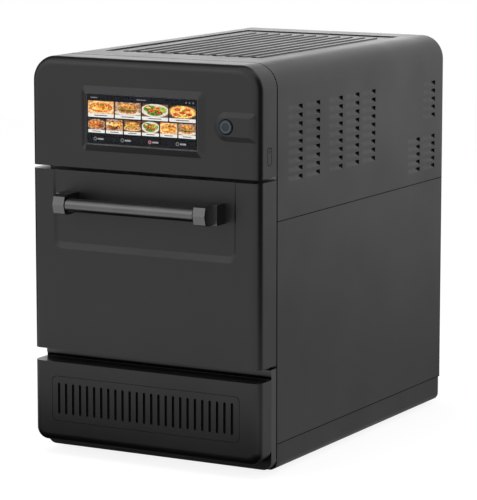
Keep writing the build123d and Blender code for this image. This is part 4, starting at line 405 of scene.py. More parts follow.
def circuit_board(name):
    """Green board with copper tracks under the mask."""
    material, tree, shader = new_material(name)
    point = object_point(tree)
    tracks = cells(tree, point, 130.0, "DISTANCE_TO_EDGE")
    tint = ramp(tree, tracks, [(0.02, (0.05, 0.2, 0.07)), (0.06, (0.012, 0.09, 0.035))])
    tree.links.new(tint, shader.inputs["Base Color"])
    tree.links.new(remap(tree, noise(tree, point, 90.0), 0.28, 0.45), shader.inputs["Roughness"])
    bumps(tree, shader, [(tracks, 0.4, TRACK_DEPTH)])
    return material


def filter_mesh(name):
    """Dark open foam, darkened further than its own black as painted shade for the hollow behind the grille
    slots.
    """
    material, tree, shader = new_material(name)
    point = object_point(tree)
    pores = cells(tree, point, 420.0)
    tint = ramp(tree, pores, [(0.1, (0.0015, 0.0015, 0.0015)), (0.6, (0.007, 0.007, 0.0074))])
    tree.links.new(tint, shader.inputs["Base Color"])
    shader.inputs["Roughness"].default_value = 0.9
    shader.inputs["Specular IOR Level"].default_value = 0.15
    bumps(tree, shader, [(pores, 0.8, PORE_DEPTH)])
    return material


def clear_glass(name):
    """Clear cover glass with faint smears."""
    material, tree, shader = new_material(name)
    smears = noise(tree, object_point(tree, (1, 1, 3)), 40.0, 3.0)
    tree.links.new(remap(tree, smears, 0.0, 0.012, (0.3, 0.7)), shader.inputs["Roughness"])
    tint = ramp(tree, smears, [(0.3, (0.93, 0.94, 0.95)), (0.7, (0.97, 0.98, 0.98))])
    tree.links.new(tint, shader.inputs["Base Color"])
    shader.inputs["Transmission Weight"].default_value = 1.0
    shader.inputs["IOR"].default_value = 1.25
    return material


def lit(name, colour, strength, second=None, scale=300.0):
    """Lit area of the screen, mottled with a second colour."""
    material, tree, shader = new_material(name)
    point = object_point(tree)
    spots = noise(tree, point, scale, 3.0)
    other = second if second is not None else shade(colour, 0.8)
    glow = ramp(tree, spots, [(0.4, colour), (0.6, other)])
    tree.links.new(glow, shader.inputs["Emission Color"])
    tint = ramp(tree, spots, [(0.4, shade(colour, 0.2)), (0.6, shade(other, 0.2))])
    tree.links.new(tint, shader.inputs["Base Color"])
    shader.inputs["Emission Strength"].default_value = strength
    shader.inputs["Roughness"].default_value = 0.5
    shader.inputs["Specular IOR Level"].default_value = 0.0
    return material


coat_front = powder_coat("coat_front", COAT_BLACK, 0.38)
coat_body = powder_coat("coat_body", (0.0048, 0.0048, 0.005), 0.38)
coat_base = powder_coat("coat_base", COAT_BLACK, 0.42)
coat_sill = powder_coat("coat_sill", COAT_BLACK, 0.36, gloss_level=0.8)
handle_finish = dark_metal("handle_finish", (0.125, 0.125, 0.125), 0.33)
trim_finish = dark_metal("trim_finish", (0.09, 0.09, 0.09), 0.4)
# Near-black with almost no gloss, for painted shade in gaps, seams, rib mouths and the port notch
painted_shade_black = plastic("painted_shade_black", (0.0012, 0.0012, 0.0012), 0.85, 1300.0, FINE_GRAIN_DEPTH)
painted_shade_black.node_tree.nodes["Principled BSDF"].inputs["Specular IOR Level"].default_value = 0.05
coat_bezel = powder_coat("coat_bezel", COAT_BLACK, 0.34)
gloss = plastic("gloss_black", (0.012, 0.012, 0.013), 0.28, 1400.0, FINE_GRAIN_DEPTH)
black_plastic = plastic("black_plastic", (0.02, 0.02, 0.021), 0.5)
screen_body = plastic("screen_body", (0.02, 0.022, 0.028), 0.35)
rubber = plastic("rubber", (0.014, 0.014, 0.014), 0.72, 1100.0, RUBBER_GRAIN_DEPTH)
silicone = plastic("silicone", (0.16, 0.16, 0.16), 0.6, 800.0, SOFT_GRAIN_DEPTH)
steel_x = metal("steel_across", STEEL_GREY, 0.3, (0.04, 1, 1))
steel_y = metal("steel_along", STEEL_GREY, 0.3, (1, 0.04, 1))
aluminium = metal("aluminium", (0.66, 0.67, 0.69), 0.34, (1, 0.1, 1))
zinc = zinc_plate("zinc")
wool = mineral_wool("wool")
ceramic = plastic("ceramic", (0.62, 0.58, 0.5), 0.55, 500.0, CERAMIC_GRAIN_DEPTH)
board = circuit_board("board")
motor = powder_coat("motor_coat", (0.08, 0.08, 0.085), 0.45)
foam = filter_mesh("filter_foam")
glass = clear_glass("screen_glass")

SLOT_MATERIALS = {
    "black_coat": coat_body,
    "black_gloss": gloss,
    "black_plastic": black_plastic,
    "screen_glass": glass,
    "screen_module": screen_body,
    "rubber": rubber,
    "steel": steel_x,
    "zinc": zinc,
    "aluminium": aluminium,
    "wool": wool,
    "ceramic": ceramic,
    "silicone": silicone,
    "board": board,
    "motor": motor,
    "filter_foam": foam,
}

NODE_MATERIALS = {
    "control_fascia": coat_front,
    "door_shell": coat_front,
    "lower_front_cover": coat_front,
    "air_filter_grille": coat_front,
    "sill_frame": coat_sill,
    "base_pan": coat_base,
    "screen_bezel": coat_bezel,
    "port_cover": coat_front,
    "handle_bar": handle_finish,
    "handle_mount_left": handle_finish,
    "handle_mount_right": handle_finish,
    "cavity_shell": steel_y,
    "exhaust_duct": steel_y,
}

for part in frame["record"]["subparts"]:
    name = part["node"]
    material = NODE_MATERIALS.get(name, SLOT_MATERIALS[part["material_slot"]])
    mesh = nodes[name].data
    mesh.materials.clear()
    mesh.materials.append(material)


# Mesh helpers

def linked_object(name, mesh_data, materials):
    """Object in the scene from a bmesh, with its materials."""
    mesh = bpy.data.meshes.new(name)
    mesh_data.to_mesh(mesh)
    mesh_data.free()
    piece = bpy.data.objects.new(name, mesh)
    bpy.context.scene.collection.objects.link(piece)
    for material in materials:
        mesh.materials.append(material)
    return piece


def add_object(name, mesh_data, materials, body):
    """Piece from a bmesh, riding on a body."""
    piece = linked_object(name, mesh_data, materials)
    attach(piece, body)


def rounded_outline(x_low, x_high, z_low, z_high, radius):
    """Corner points of a rounded rectangle, anticlockwise."""
    radius = min(radius, (x_high - x_low) / 2, (z_high - z_low) / 2)
    centres = (
        (x_high - radius, z_low + radius, -90), (x_high - radius, z_high - radius, 0),
        (x_low + radius, z_high - radius, 90), (x_low + radius, z_low + radius, 180),
    )
    points = []
    for x, z, start in centres:
        for step in range(CORNER_STEPS + 1):
            angle = math.radians(start + 90 * step / CORNER_STEPS)
            points.append((x + radius * math.cos(angle), z + radius * math.sin(angle)))
    return points


def add_slab(mesh_data, points, y_front, thickness, index):
    """Flat slab that faces the front, from an outline in x and z."""
    front = [mesh_data.verts.new((x, y_front, z)) for x, z in points]
    rear = [mesh_data.verts.new((x, y_front + thickness, z)) for x, z in points]
    faces = [mesh_data.faces.new(front), mesh_data.faces.new(list(reversed(rear)))]
    count = len(points)
    for i in range(count):
        j = (i + 1) % count
        faces.append(mesh_data.faces.new((front[j], front[i], rear[i], rear[j])))
    for face in faces:
        face.material_index = index


def ellipse(x, z, half_width, half_height, steps=ELLIPSE_STEPS):
    """Points of an ellipse in x and z, anticlockwise."""
    points = []
    for step in range(steps):
        angle = 2 * math.pi * step / steps
        points.append((x + half_width * math.cos(angle), z + half_height * math.sin(angle)))
    return points


def circle(x, z, radius, steps=ELLIPSE_STEPS):
    """Points of a circle in x and z, anticlockwise."""
    return ellipse(x, z, radius, radius, steps)


def add_ring(mesh_data, centre, radius, profile, index, steps):
    """Ring about Y from a closed profile of (radial, y) offsets."""
    loops = []
    for step in range(steps):
        angle = 2 * math.pi * step / steps
        loop = []
        for radial, depth in profile:
            reach = radius + radial
            loop.append(mesh_data.verts.new((
                centre[0] + reach * math.cos(angle), centre[1] + depth, centre[2] + reach * math.sin(angle),
            )))
        loops.append(loop)
    size = len(profile)
    for step in range(steps):
        loop = loops[step]
        following = loops[(step + 1) % steps]
        for i in range(size):
            j = (i + 1) % size
            face = mesh_data.faces.new((loop[i], loop[j], following[j], following[i]))
            face.material_index = index
            face.smooth = True


# Screen picture: generic tiles of food, bonded into the rear of the cover glass

glass_low, glass_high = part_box("display_glass")
SCREEN_LEFT = glass_low[0] + SCREEN_MARGIN
SCREEN_RIGHT = glass_high[0] - SCREEN_MARGIN
SCREEN_LOW = glass_low[2] + SCREEN_MARGIN
SCREEN_HIGH = glass_high[2] - SCREEN_MARGIN
PICTURE_FRONT = glass_high[1] - PICTURE_DEPTH

# Colour, strength of its light, second colour of its mottle, and scale of the mottle
PICTURE_COLOURS = {
    "dark": ((0.003, 0.004, 0.007), 0.9, (0.004, 0.005, 0.009), 300.0),
    "bar": ((0.003, 0.0035, 0.005), 0.9, (0.004, 0.0045, 0.006), 300.0),
    "line": ((0.06, 0.07, 0.09), 0.8, None, 300.0),
    "pale": ((0.8, 0.78, 0.76), 1.0, (0.66, 0.64, 0.62), 700.0),
    "white": ((0.78, 0.72, 0.62), 1.0, (0.62, 0.55, 0.45), 500.0),
    "grey": ((0.2, 0.21, 0.23), 0.9, None, 300.0),
    "label": ((0.42, 0.42, 0.43), 0.9, None, 300.0),
    "ink": ((0.05, 0.045, 0.045), 0.9, None, 300.0),
    "dot": ((0.5, 0.02, 0.03), 1.0, None, 300.0),
    "wood": ((0.05, 0.018, 0.008), 1.0, (0.22, 0.09, 0.035), 350.0),
    "slate": ((0.008, 0.009, 0.011), 1.0, (0.05, 0.045, 0.04), 350.0),
    "cloth": ((0.2, 0.07, 0.03), 1.0, (0.62, 0.4, 0.26), 350.0),
    "gold": ((0.5, 0.13, 0.008), 1.0, (0.95, 0.55, 0.14), 450.0),
    "orange": ((0.42, 0.06, 0.004), 1.0, (0.95, 0.34, 0.04), 450.0),
    "crust": ((0.2, 0.05, 0.01), 1.0, (0.8, 0.36, 0.09), 450.0),
    "brown": ((0.05, 0.012, 0.005), 1.0, (0.32, 0.1, 0.03), 450.0),
    "green": ((0.01, 0.06, 0.004), 1.0, (0.2, 0.36, 0.04), 500.0),
    "lime": ((0.16, 0.26, 0.02), 1.0, (0.5, 0.6, 0.12), 500.0),
    "red": ((0.35, 0.012, 0.008), 1.0, (0.8, 0.14, 0.05), 500.0),
    "cream": ((0.6, 0.38, 0.18), 1.0, (0.95, 0.72, 0.42), 450.0),
    "yellow": ((0.75, 0.36, 0.04), 1.0, (1.0, 0.78, 0.24), 450.0),
}
COLOUR_NAMES = list(PICTURE_COLOURS)
PICTURE_MATERIALS = []
for colour_name, (colour, strength, second, scale) in PICTURE_COLOURS.items():
    PICTURE_MATERIALS.append(lit("screen_" + colour_name, colour, strength, second, scale))

# Dishes: backdrop, then ellipses as (x, z, half width, half height, colour) in shares of the half tile
DISH_SHARES = {
    "burger": ("cloth", [
        (0.0, -0.6, 0.95, 0.32, "white"), (0.0, -0.42, 0.62, 0.26, "crust"), (0.0, -0.16, 0.68, 0.2, "brown"),
        (0.02, 0.0, 0.74, 0.15, "lime"), (-0.3, -0.04, 0.3, 0.12, "green"), (0.08, 0.1, 0.6, 0.12, "red"),
        (0.0, 0.4, 0.64, 0.38, "crust"), (-0.12, 0.5, 0.44, 0.2, "gold"),
    ]),
    "pizza": ("slate", [
        (0.0, 0.0, 0.98, 0.98, "crust"), (0.0, 0.0, 0.86, 0.86, "yellow"), (-0.35, 0.35, 0.22, 0.22, "red"),
        (0.35, 0.4, 0.22, 0.22, "red"), (0.0, -0.1, 0.22, 0.22, "red"), (-0.45, -0.35, 0.22, 0.22, "red"),
        (0.48, -0.3, 0.22, 0.22, "red"), (0.1, 0.2, 0.14, 0.1, "green"), (-0.2, -0.55, 0.14, 0.1, "green"),
        (0.22, -0.5, 0.12, 0.1, "green"),
    ]),
    "pasta": ("gold", [
        (0.0, -0.05, 1.1, 0.95, "cream"), (0.0, 0.0, 0.86, 0.72, "orange"), (-0.2, 0.15, 0.5, 0.42, "gold"),
        (0.3, -0.1, 0.46, 0.4, "gold"), (0.05, 0.1, 0.3, 0.24, "orange"), (-0.35, -0.2, 0.3, 0.2, "yellow"),
        (0.1, 0.4, 0.18, 0.12, "green"),
    ]),
    "salad": ("wood", [
        (0.0, 0.0, 1.0, 0.95, "white"), (-0.3, 0.2, 0.5, 0.5, "green"), (0.35, 0.1, 0.5, 0.5, "lime"),
        (0.0, -0.35, 0.55, 0.4, "green"), (-0.25, -0.05, 0.22, 0.22, "red"), (0.3, -0.25, 0.2, 0.2, "red"),
        (0.15, 0.3, 0.26, 0.22, "orange"), (-0.45, 0.4, 0.16, 0.14, "yellow"),
    ]),
    "wings": ("slate", [
        (0.0, -0.1, 1.1, 0.9, "cloth"), (-0.4, 0.2, 0.42, 0.34, "orange"), (0.3, 0.3, 0.45, 0.32, "crust"),
        (-0.05, -0.2, 0.45, 0.34, "orange"), (0.52, -0.25, 0.35, 0.3, "brown"),
        (-0.55, -0.35, 0.3, 0.26, "crust"), (-0.1, 0.3, 0.22, 0.18, "gold"), (0.1, -0.15, 0.2, 0.14, "red"),
    ]),
    "toast": ("wood", [
        (0.0, -0.35, 0.98, 0.42, "cream"), (0.0, -0.3, 0.86, 0.3, "crust"), (0.0, -0.05, 0.8, 0.22, "lime"),
        (0.1, 0.05, 0.7, 0.18, "red"), (0.0, 0.2, 0.78, 0.2, "yellow"), (0.0, 0.42, 0.82, 0.3, "crust"),
        (-0.1, 0.5, 0.6, 0.18, "gold"),
    ]),
    "cakes": ("cloth", [
        (-0.5, -0.2, 0.4, 0.5, "crust"), (0.5, -0.15, 0.4, 0.5, "crust"), (0.0, -0.3, 0.42, 0.5, "brown"),
        (-0.5, 0.2, 0.42, 0.3, "cream"), (0.5, 0.25, 0.42, 0.3, "gold"), (0.0, 0.1, 0.44, 0.32, "yellow"),
        (0.0, 0.24, 0.16, 0.12, "red"), (-0.5, 0.32, 0.14, 0.1, "brown"),
    ]),
}

# Rows of tiles: share of the height between header and footer, and the dishes
ROW_SHARES = (
    (0.53, ("pasta", "burger", "salad", "pizza")),
    (0.47, ("wings", "cakes", "toast", "salad", "pasta", "burger")),
)

picture = bmesh.new()


def clipped(points, box):
    """Convex outline cut to a box of x and z limits."""
    x_low, x_high, z_low, z_high = box
    for axis, limit, sign in ((0, x_low, 1), (0, x_high, -1), (1, z_low, 1), (1, z_high, -1)):
        kept = []
        for index, point in enumerate(points):
            before = points[index - 1]
            inside = sign * (point[axis] - limit) >= 0
            was_inside = sign * (before[axis] - limit) >= 0
            if inside != was_inside:
                share = (limit - before[axis]) / (point[axis] - before[axis])
                kept.append(tuple(a + share * (b - a) for a, b in zip(before, point)))
            if inside:
                kept.append(point)
        points = kept
    return points


def flat(points, level, colour_name):
    """One flat shape of the picture, further forward for each level."""
    if len(points) > 2:
        front = PICTURE_FRONT - level * LAYER_STEP
        add_slab(picture, points, front, SHEET_THICKNESS, COLOUR_NAMES.index(colour_name))


def bar(x, z, half_width, half_height, level, colour_name):
    """Small bar with round ends."""
    outline = rounded_outline(x - half_width, x + half_width, z - half_height, z + half_height, half_height)
    flat(outline, level, colour_name)


def tile(box, dish):
    """Food over a backdrop, above a pale strip with a bar in it."""
    x_low, x_high, z_low, z_high = box
    caption = CAPTION_SHARE * (z_high - z_low)
    flat(rounded_outline(*box, GAP_SHARE * (x_high - x_low)), 2, "pale")
    backdrop, shapes = DISH_SHARES[dish]
    view = (x_low, x_high, z_low + caption, z_high)
    x = (x_low + x_high) / 2
    z = (view[2] + z_high) / 2
    half_x = DISH_SPREAD * (x_high - x_low) / 2
    half_z = DISH_SPREAD * (z_high - view[2]) / 2
    flat([(x_low, view[2]), (x_high, view[2]), (x_high, z_high), (x_low, z_high)], 3, backdrop)
    for index, (place_x, place_z, half_width, half_height, colour_name) in enumerate(shapes):
        shape = ellipse(x + place_x * half_x, z + place_z * half_z, half_width * half_x, half_height * half_z)
        flat(clipped(shape, view), 4 + index, colour_name)
    bar_share, rise_share = CAPTION_BAR_SHARES
    bar(x, z_low + caption / 2, bar_share * (x_high - x_low), rise_share * caption, 3, "ink")


screen_height = SCREEN_HIGH - SCREEN_LOW
screen_width = SCREEN_RIGHT - SCREEN_LEFT
gap = GAP_SHARE * screen_height
header_low = SCREEN_HIGH - HEADER_SHARE * screen_height
footer_high = SCREEN_LOW + FOOTER_SHARE * screen_height
flat(rounded_outline(SCREEN_LEFT, SCREEN_RIGHT, SCREEN_LOW, SCREEN_HIGH, gap), 0, "dark")
flat(rounded_outline(SCREEN_LEFT, SCREEN_RIGHT, SCREEN_LOW, footer_high, gap), 1, "bar")

row_top = header_low
for share, dishes in ROW_SHARES:
    row_height = share * (header_low - footer_high)
    step = (screen_width - gap) / len(dishes)
    for index, dish in enumerate(dishes):
        left = SCREEN_LEFT + gap + index * step
        tile((left, left + step - gap, row_top - row_height + gap, row_top), dish)
    row_top -= row_height

header_middle = (header_low + SCREEN_HIGH) / 2
text_half = TEXT_HALF_GAPS * gap
title_x = (SCREEN_LEFT + SCREEN_RIGHT) / 2
bar(SCREEN_LEFT + HEADER_LEFT_GAPS * gap, header_middle, HEADER_LEFT_HALF_GAPS * gap, text_half, 2, "grey")
bar(title_x, header_middle, TITLE_HALF_GAPS * gap, text_half, 2, "grey")
for index in range(HEADER_DOTS):
    dot_x = SCREEN_RIGHT - (index + 1) * DOT_STEP_GAPS * gap
    flat(circle(dot_x, header_middle, DOT_GAPS * gap), 2, "grey")

footer_middle = (SCREEN_LOW + footer_high) / 2
icon = ICON_GAPS * gap
for index in range(FOOTER_PARTS):
    part_left = SCREEN_LEFT + index * screen_width / FOOTER_PARTS
    icon_x = part_left + FOOTER_ICON_SHARE * screen_width / FOOTER_PARTS
    label_x = icon_x + LABEL_PLACE_GAPS * gap
    middle_colour = "dot" if index == FOOTER_RED_PART else "bar"
    flat(circle(icon_x, footer_middle, icon), 2, "label")
    flat(circle(icon_x, footer_middle, ICON_HOLLOW_SHARE * icon), 3, middle_colour)
    bar(label_x, footer_middle, LABEL_HALF_GAPS * gap, LABEL_RISE_GAPS * gap, 2, "label")
    if index > 0:
        bar(part_left, footer_middle, LINE_HALF_GAPS * gap, LINE_RISE_GAPS * gap, 2, "line")

add_object("screen_picture", picture, PICTURE_MATERIALS, "cabinet")


# Light ring and centre mark of the button

button_low, button_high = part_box("power_button")
BUTTON_X = (button_low[0] + button_high[0]) / 2
BUTTON_Z = (button_low[2] + button_high[2]) / 2
BUTTON_FRONT = button_low[1]
ring_light = lit("ring_light", (0.09, 0.14, 0.195), 0.7, (0.075, 0.11, 0.15), 900.0)
mark_light = lit("mark_light", (0.085, 0.08, 0.075), 0.7, (0.065, 0.062, 0.06), 900.0)


def ring_profile(width, rise):
    """Closed profile of a low rounded ring, from behind the face to its crown."""
    side = width / 2
    shoulder = RING_SHOULDER_SHARE * side
    edge = RING_EDGE_SHARE * rise
    return [
        (-side, rise), (-side, -edge), (-shoulder, -rise), (shoulder, -rise), (side, -edge), (side, rise),
    ]


rings = bmesh.new()
button_face = (BUTTON_X, BUTTON_FRONT, BUTTON_Z)
add_ring(rings, button_face, RING_R, ring_profile(RING_WIDTH, RING_RISE), 0, RING_STEPS)
add_ring(rings, button_face, MARK_R, ring_profile(MARK_WIDTH, RING_RISE), 1, MARK_STEPS)
add_object("button_rings", rings, [ring_light, mark_light], "button")


# Small fittings, and black pieces of painted shade in gaps, seams and hollows

def add_band(mesh_data, loops, closed=True):
    """Surface through loops of points, each loop as long as the next."""
    rows = [[mesh_data.verts.new(point) for point in loop] for loop in loops]
    count = len(rows[0])
    for row, following in zip(rows, rows[1:]):
        for i in range(count if closed else count - 1):
            j = (i + 1) % count
            mesh_data.faces.new((row[i], row[j], following[j], following[i]))


# Bead round the cover glass
bezel_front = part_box("screen_bezel")[0][1]
bead = bmesh.new()
loops = []
for across_share, rise_share in BEAD_SHARES:
    reach = BEAD_NEAR + across_share * BEAD_WIDTH
    rim = rounded_outline(
        glass_low[0] - reach, glass_high[0] + reach, glass_low[2] - reach, glass_high[2] + reach, reach,
    )
    loops.append([(x, bezel_front - rise_share * BEAD_RISE, z) for x, z in rim])
add_band(bead, loops)
add_object("screen_bead", bead, [trim_finish], "cabinet")

# Painted shade: a black ring in the gap round the button
button_shade_ring = bmesh.new()
platform_front = BUTTON_FRONT + BUTTON_PROUD
shade_ring_profile = ((0, 0), (0, -SHADE_RING_RISE), (SHADE_RING_WIDTH, -SHADE_RING_RISE), (SHADE_RING_WIDTH + SHADE_RING_RISE, 0))
loops = []
for radial, rise in shade_ring_profile:
    ring = circle(BUTTON_X, BUTTON_Z, BUTTON_FACE_R + SHADE_RING_GAP + radial, SHADE_RING_STEPS)
    loops.append([(x, platform_front + rise, z) for x, z in ring])
add_band(button_shade_ring, loops)
add_object("button_gap_shade", button_shade_ring, [painted_shade_black], "cabinet")

# Painted shade: a black strip in the seam between the front and the body, open at the bottom
cover_low, cover_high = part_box("upper_cover")
skirt_low, skirt_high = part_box("lower_front_cover")
half = cover_high[0]
top = cover_high[2]
arch = [(half, skirt_low[2] + SEAM_LIFT)]
for side, start in ((1, 0), (-1, 90)):
    for step in range(ARCH_STEPS + 1):
        angle = math.radians(start + 90 * step / ARCH_STEPS)
        x = side * (half - BODY_CORNER_R) + BODY_CORNER_R * math.cos(angle)
        z = top - BODY_CORNER_R + BODY_CORNER_R * math.sin(angle)
        arch.append((x, z))
arch.append((-half, skirt_low[2] + SEAM_LIFT))


def grown(points, amount):
    """Arch grown outward from the middle of the body."""
    moved = []
    for index, (x, z) in enumerate(points):
        before = points[max(index - 1, 0)]
        after = points[min(index + 1, len(points) - 1)]
        run = Vector((after[0] - before[0], after[1] - before[1])).normalized()
        moved.append((x + run.y * amount, z - run.x * amount))
    return moved


strip = bmesh.new()
seam_front = FRONT_SEAM_Y - SEAM_WIDTH / 2
seam_rear = FRONT_SEAM_Y + SEAM_WIDTH / 2
strip_profile = (
    (seam_front, -SEAM_RISE), (seam_front, SEAM_RISE), (seam_rear, SEAM_RISE), (seam_rear, -SEAM_RISE),
)
add_band(strip, [[(x, y, z) for x, z in grown(arch, rise)] for y, rise in strip_profile], closed=False)
add_object("front_seam_shade", strip, [painted_shade_black], "cabinet")

# Painted shade: black strips in the level seams of the sides, over the base pan and under the upper cover
panel_low, panel_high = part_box("side_panel_right")
side_shade_strips = bmesh.new()
for seam_z in (panel_low[2], cover_low[2]):
    for side in (1, -1):
        x = side * (half + SEAM_RISE)
        levels = (seam_z - SIDE_SEAM, seam_z + SIDE_SEAM_LAP)
        add_band(side_shade_strips, [[(x, FRONT_SEAM_Y, z), (x, panel_high[1], z)] for z in levels], closed=False)
add_object("side_seam_shade", side_shade_strips, [painted_shade_black], "cabinet")

# Painted shade: a black strip in the gap between the sill and the lower cover
sill_gap_shade = bmesh.new()
sill_shade_z = skirt_high[2] + SILL_SHADE_LOW
sill_shade_y = SILL_FRONT_Y - SEAM_RISE
levels = (sill_shade_z, sill_shade_z + SILL_SHADE_HEIGHT)
sill_shade_end = half - SILL_SHADE_END
add_band(sill_gap_shade, [[(-sill_shade_end, sill_shade_y, z), (sill_shade_end, sill_shade_y, z)] for z in levels], closed=False)
add_object("sill_gap_shade", sill_gap_shade, [painted_shade_black], "cabinet")

# Painted shade: black rings in the gaps where the handle bar enters its mounts
bar_low, bar_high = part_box("handle_bar")
bar_y = (bar_low[1] + bar_high[1]) / 2
bar_z = (bar_low[2] + bar_high[2]) / 2
ring_r = (bar_high[2] - bar_low[2]) / 2
bar_ring_shades = bmesh.new()
for mount, side in (("handle_mount_left", 1), ("handle_mount_right", -1)):
    mount_low, mount_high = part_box(mount)
    face_x = mount_high[0] if side > 0 else mount_low[0]
    loops = []
    for along, rise in ((0, 0), (0, BAR_RING_RISE), (BAR_RING, BAR_RING_RISE), (BAR_RING, 0)):
        ring = circle(bar_y, bar_z, ring_r + rise, BAR_RING_STEPS)
        loops.append([(face_x + side * along, y, z) for y, z in ring])
    add_band(bar_ring_shades, loops)
add_object("handle_ring_shade", bar_ring_shades, [painted_shade_black], "door")

# Ramps of the louvres: each sinks from its front end to its rear end
ramps = bmesh.new()
tip = half - LOUVRE_INWARD
tips = sorted({
    (round(vertex.co.z, LOUVRE_DIGITS), round(vertex.co.y, LOUVRE_DIGITS))
    for vertex in nodes["upper_cover"].data.vertices
    if abs(vertex.co.x - tip) < LOUVRE_TOLERANCE and vertex.co.z < top - BODY_CORNER_R / 2
})
for (z_top, y_front), (z_same, y_rear) in zip(tips, tips[1:]):
    if z_same != z_top or abs(y_rear - y_front - LOUVRE_LENGTH) > LOUVRE_LENGTH_TOLERANCE:
        continue
    for side in (1, -1):
        loops = []
        for rise, sink in LOUVRE_ROW_SHARES:
            loop = []
            for column in range(LOUVRE_STEPS + 1):
                run = column / LOUVRE_STEPS
                start = math.sin(math.radians(90 * min(run / LOUVRE_RUN_IN_SHARE, 1.0)))
                depth = start * LOUVRE_START_SHARE + (1 - LOUVRE_START_SHARE) * run ** LOUVRE_CURVE
                sunk = LOUVRE_SKIN + (LOUVRE_INWARD - LOUVRE_CLEAR) * sink * depth
                y = y_front + run * LOUVRE_LENGTH
                z = z_top - (1 - rise) * LOUVRE_OPEN
                loop.append((side * (half - sunk), y, z))
            loops.append(loop)
        add_band(ramps, loops, closed=False)
for face in ramps.faces:
    face.smooth = True
bmesh.ops.recalc_face_normals(ramps, faces=ramps.faces[:])
add_object("louvre_ramps", ramps, [coat_body], "cabinet")

# Painted shade: black pieces in the mouths at the front ends of the ribs in the top
mouths = bmesh.new()
for index in range(RIB_COUNT):
    x = RIB_SHIFT + (index - (RIB_COUNT - 1) / 2) * RIB_PITCH
    low = top - RIB_DROP
    section = (
        (MOUTH_HALF, -MOUTH_LENGTH, low + MOUTH_SKIN), (MOUTH_HALF, -MOUTH_SKIN, low + MOUTH_SKIN),
        (MOUTH_TOP_HALF, -MOUTH_SKIN, top + SEAM_RISE), (MOUTH_TOP_HALF, MOUTH_CAP, top + SEAM_RISE),
    )
    loops = [[(x - wide, RIB_FRONT + y, z), (x + wide, RIB_FRONT + y, z)] for wide, y, z in section]
    add_band(mouths, loops, closed=False)
add_object("rib_mouth_shade", mouths, [painted_shade_black], "cabinet")

# Painted shade: a black strip in the seam round three sides of the flap of the service port, and a black ring
# as the shade of the notch in the flap that lifts it
port_low, port_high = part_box("port_cover")
port_x = port_high[0] + SEAM_RISE
loops = []
for grow in (PORT_SEAM, PORT_SEAM_NEAR):
    foot = port_low[2] + PORT_HINGE
    head = port_high[2] + grow
    loops.append([
        (port_x, port_low[1] - grow, foot), (port_x, port_low[1] - grow, head),
        (port_x, port_high[1] + grow, head), (port_x, port_high[1] + grow, foot),
    ])
port = bmesh.new()
add_band(port, loops, closed=False)
add_object("port_seam_shade", port, [painted_shade_black], "cabinet")

notch = bmesh.new()
notch_y = (port_low[1] + port_high[1]) / 2
rims = []
for radius, sink in ((PORT_NOTCH_R, SEAM_RISE), (PORT_NOTCH_R / 2, 0)):
    ring = circle(notch_y, port_high[2] - PORT_NOTCH_DROP, radius, NOTCH_STEPS)
    rims.append([(port_high[0] + sink, y, z) for y, z in ring])
add_band(notch, rims)
add_object("port_notch_shade", notch, [painted_shade_black], "port_flap")


# Stage: floor, cards that only reflections see, and lamps

def stage_material(name, colour, glow=0.0):
    """Plain material for the stage, with a glow where one is given."""
    material, tree, shader = new_material(name)
    mottle = noise(tree, object_point(tree), 3.0)
    tint = ramp(tree, mottle, [(0.3, shade(colour, 0.99)), (0.7, colour)])
    tree.links.new(tint, shader.inputs["Base Color"])
    shader.inputs["Roughness"].default_value = 1.0
    shader.inputs["Specular IOR Level"].default_value = 0.0
    shader.inputs["Emission Color"].default_value = (1, 1, 1, 1)
    shader.inputs["Emission Strength"].default_value = glow
    return material


def combine(tree, operation, first, second):
    """Math node with two inputs, each a socket or a number."""
    node = tree.nodes.new("ShaderNodeMath")
    node.operation = operation
    for socket, value in zip(node.inputs, (first, second)):
        if isinstance(value, float):
            socket.default_value = value
        else:
            tree.links.new(value, socket)
    return node.outputs[0]


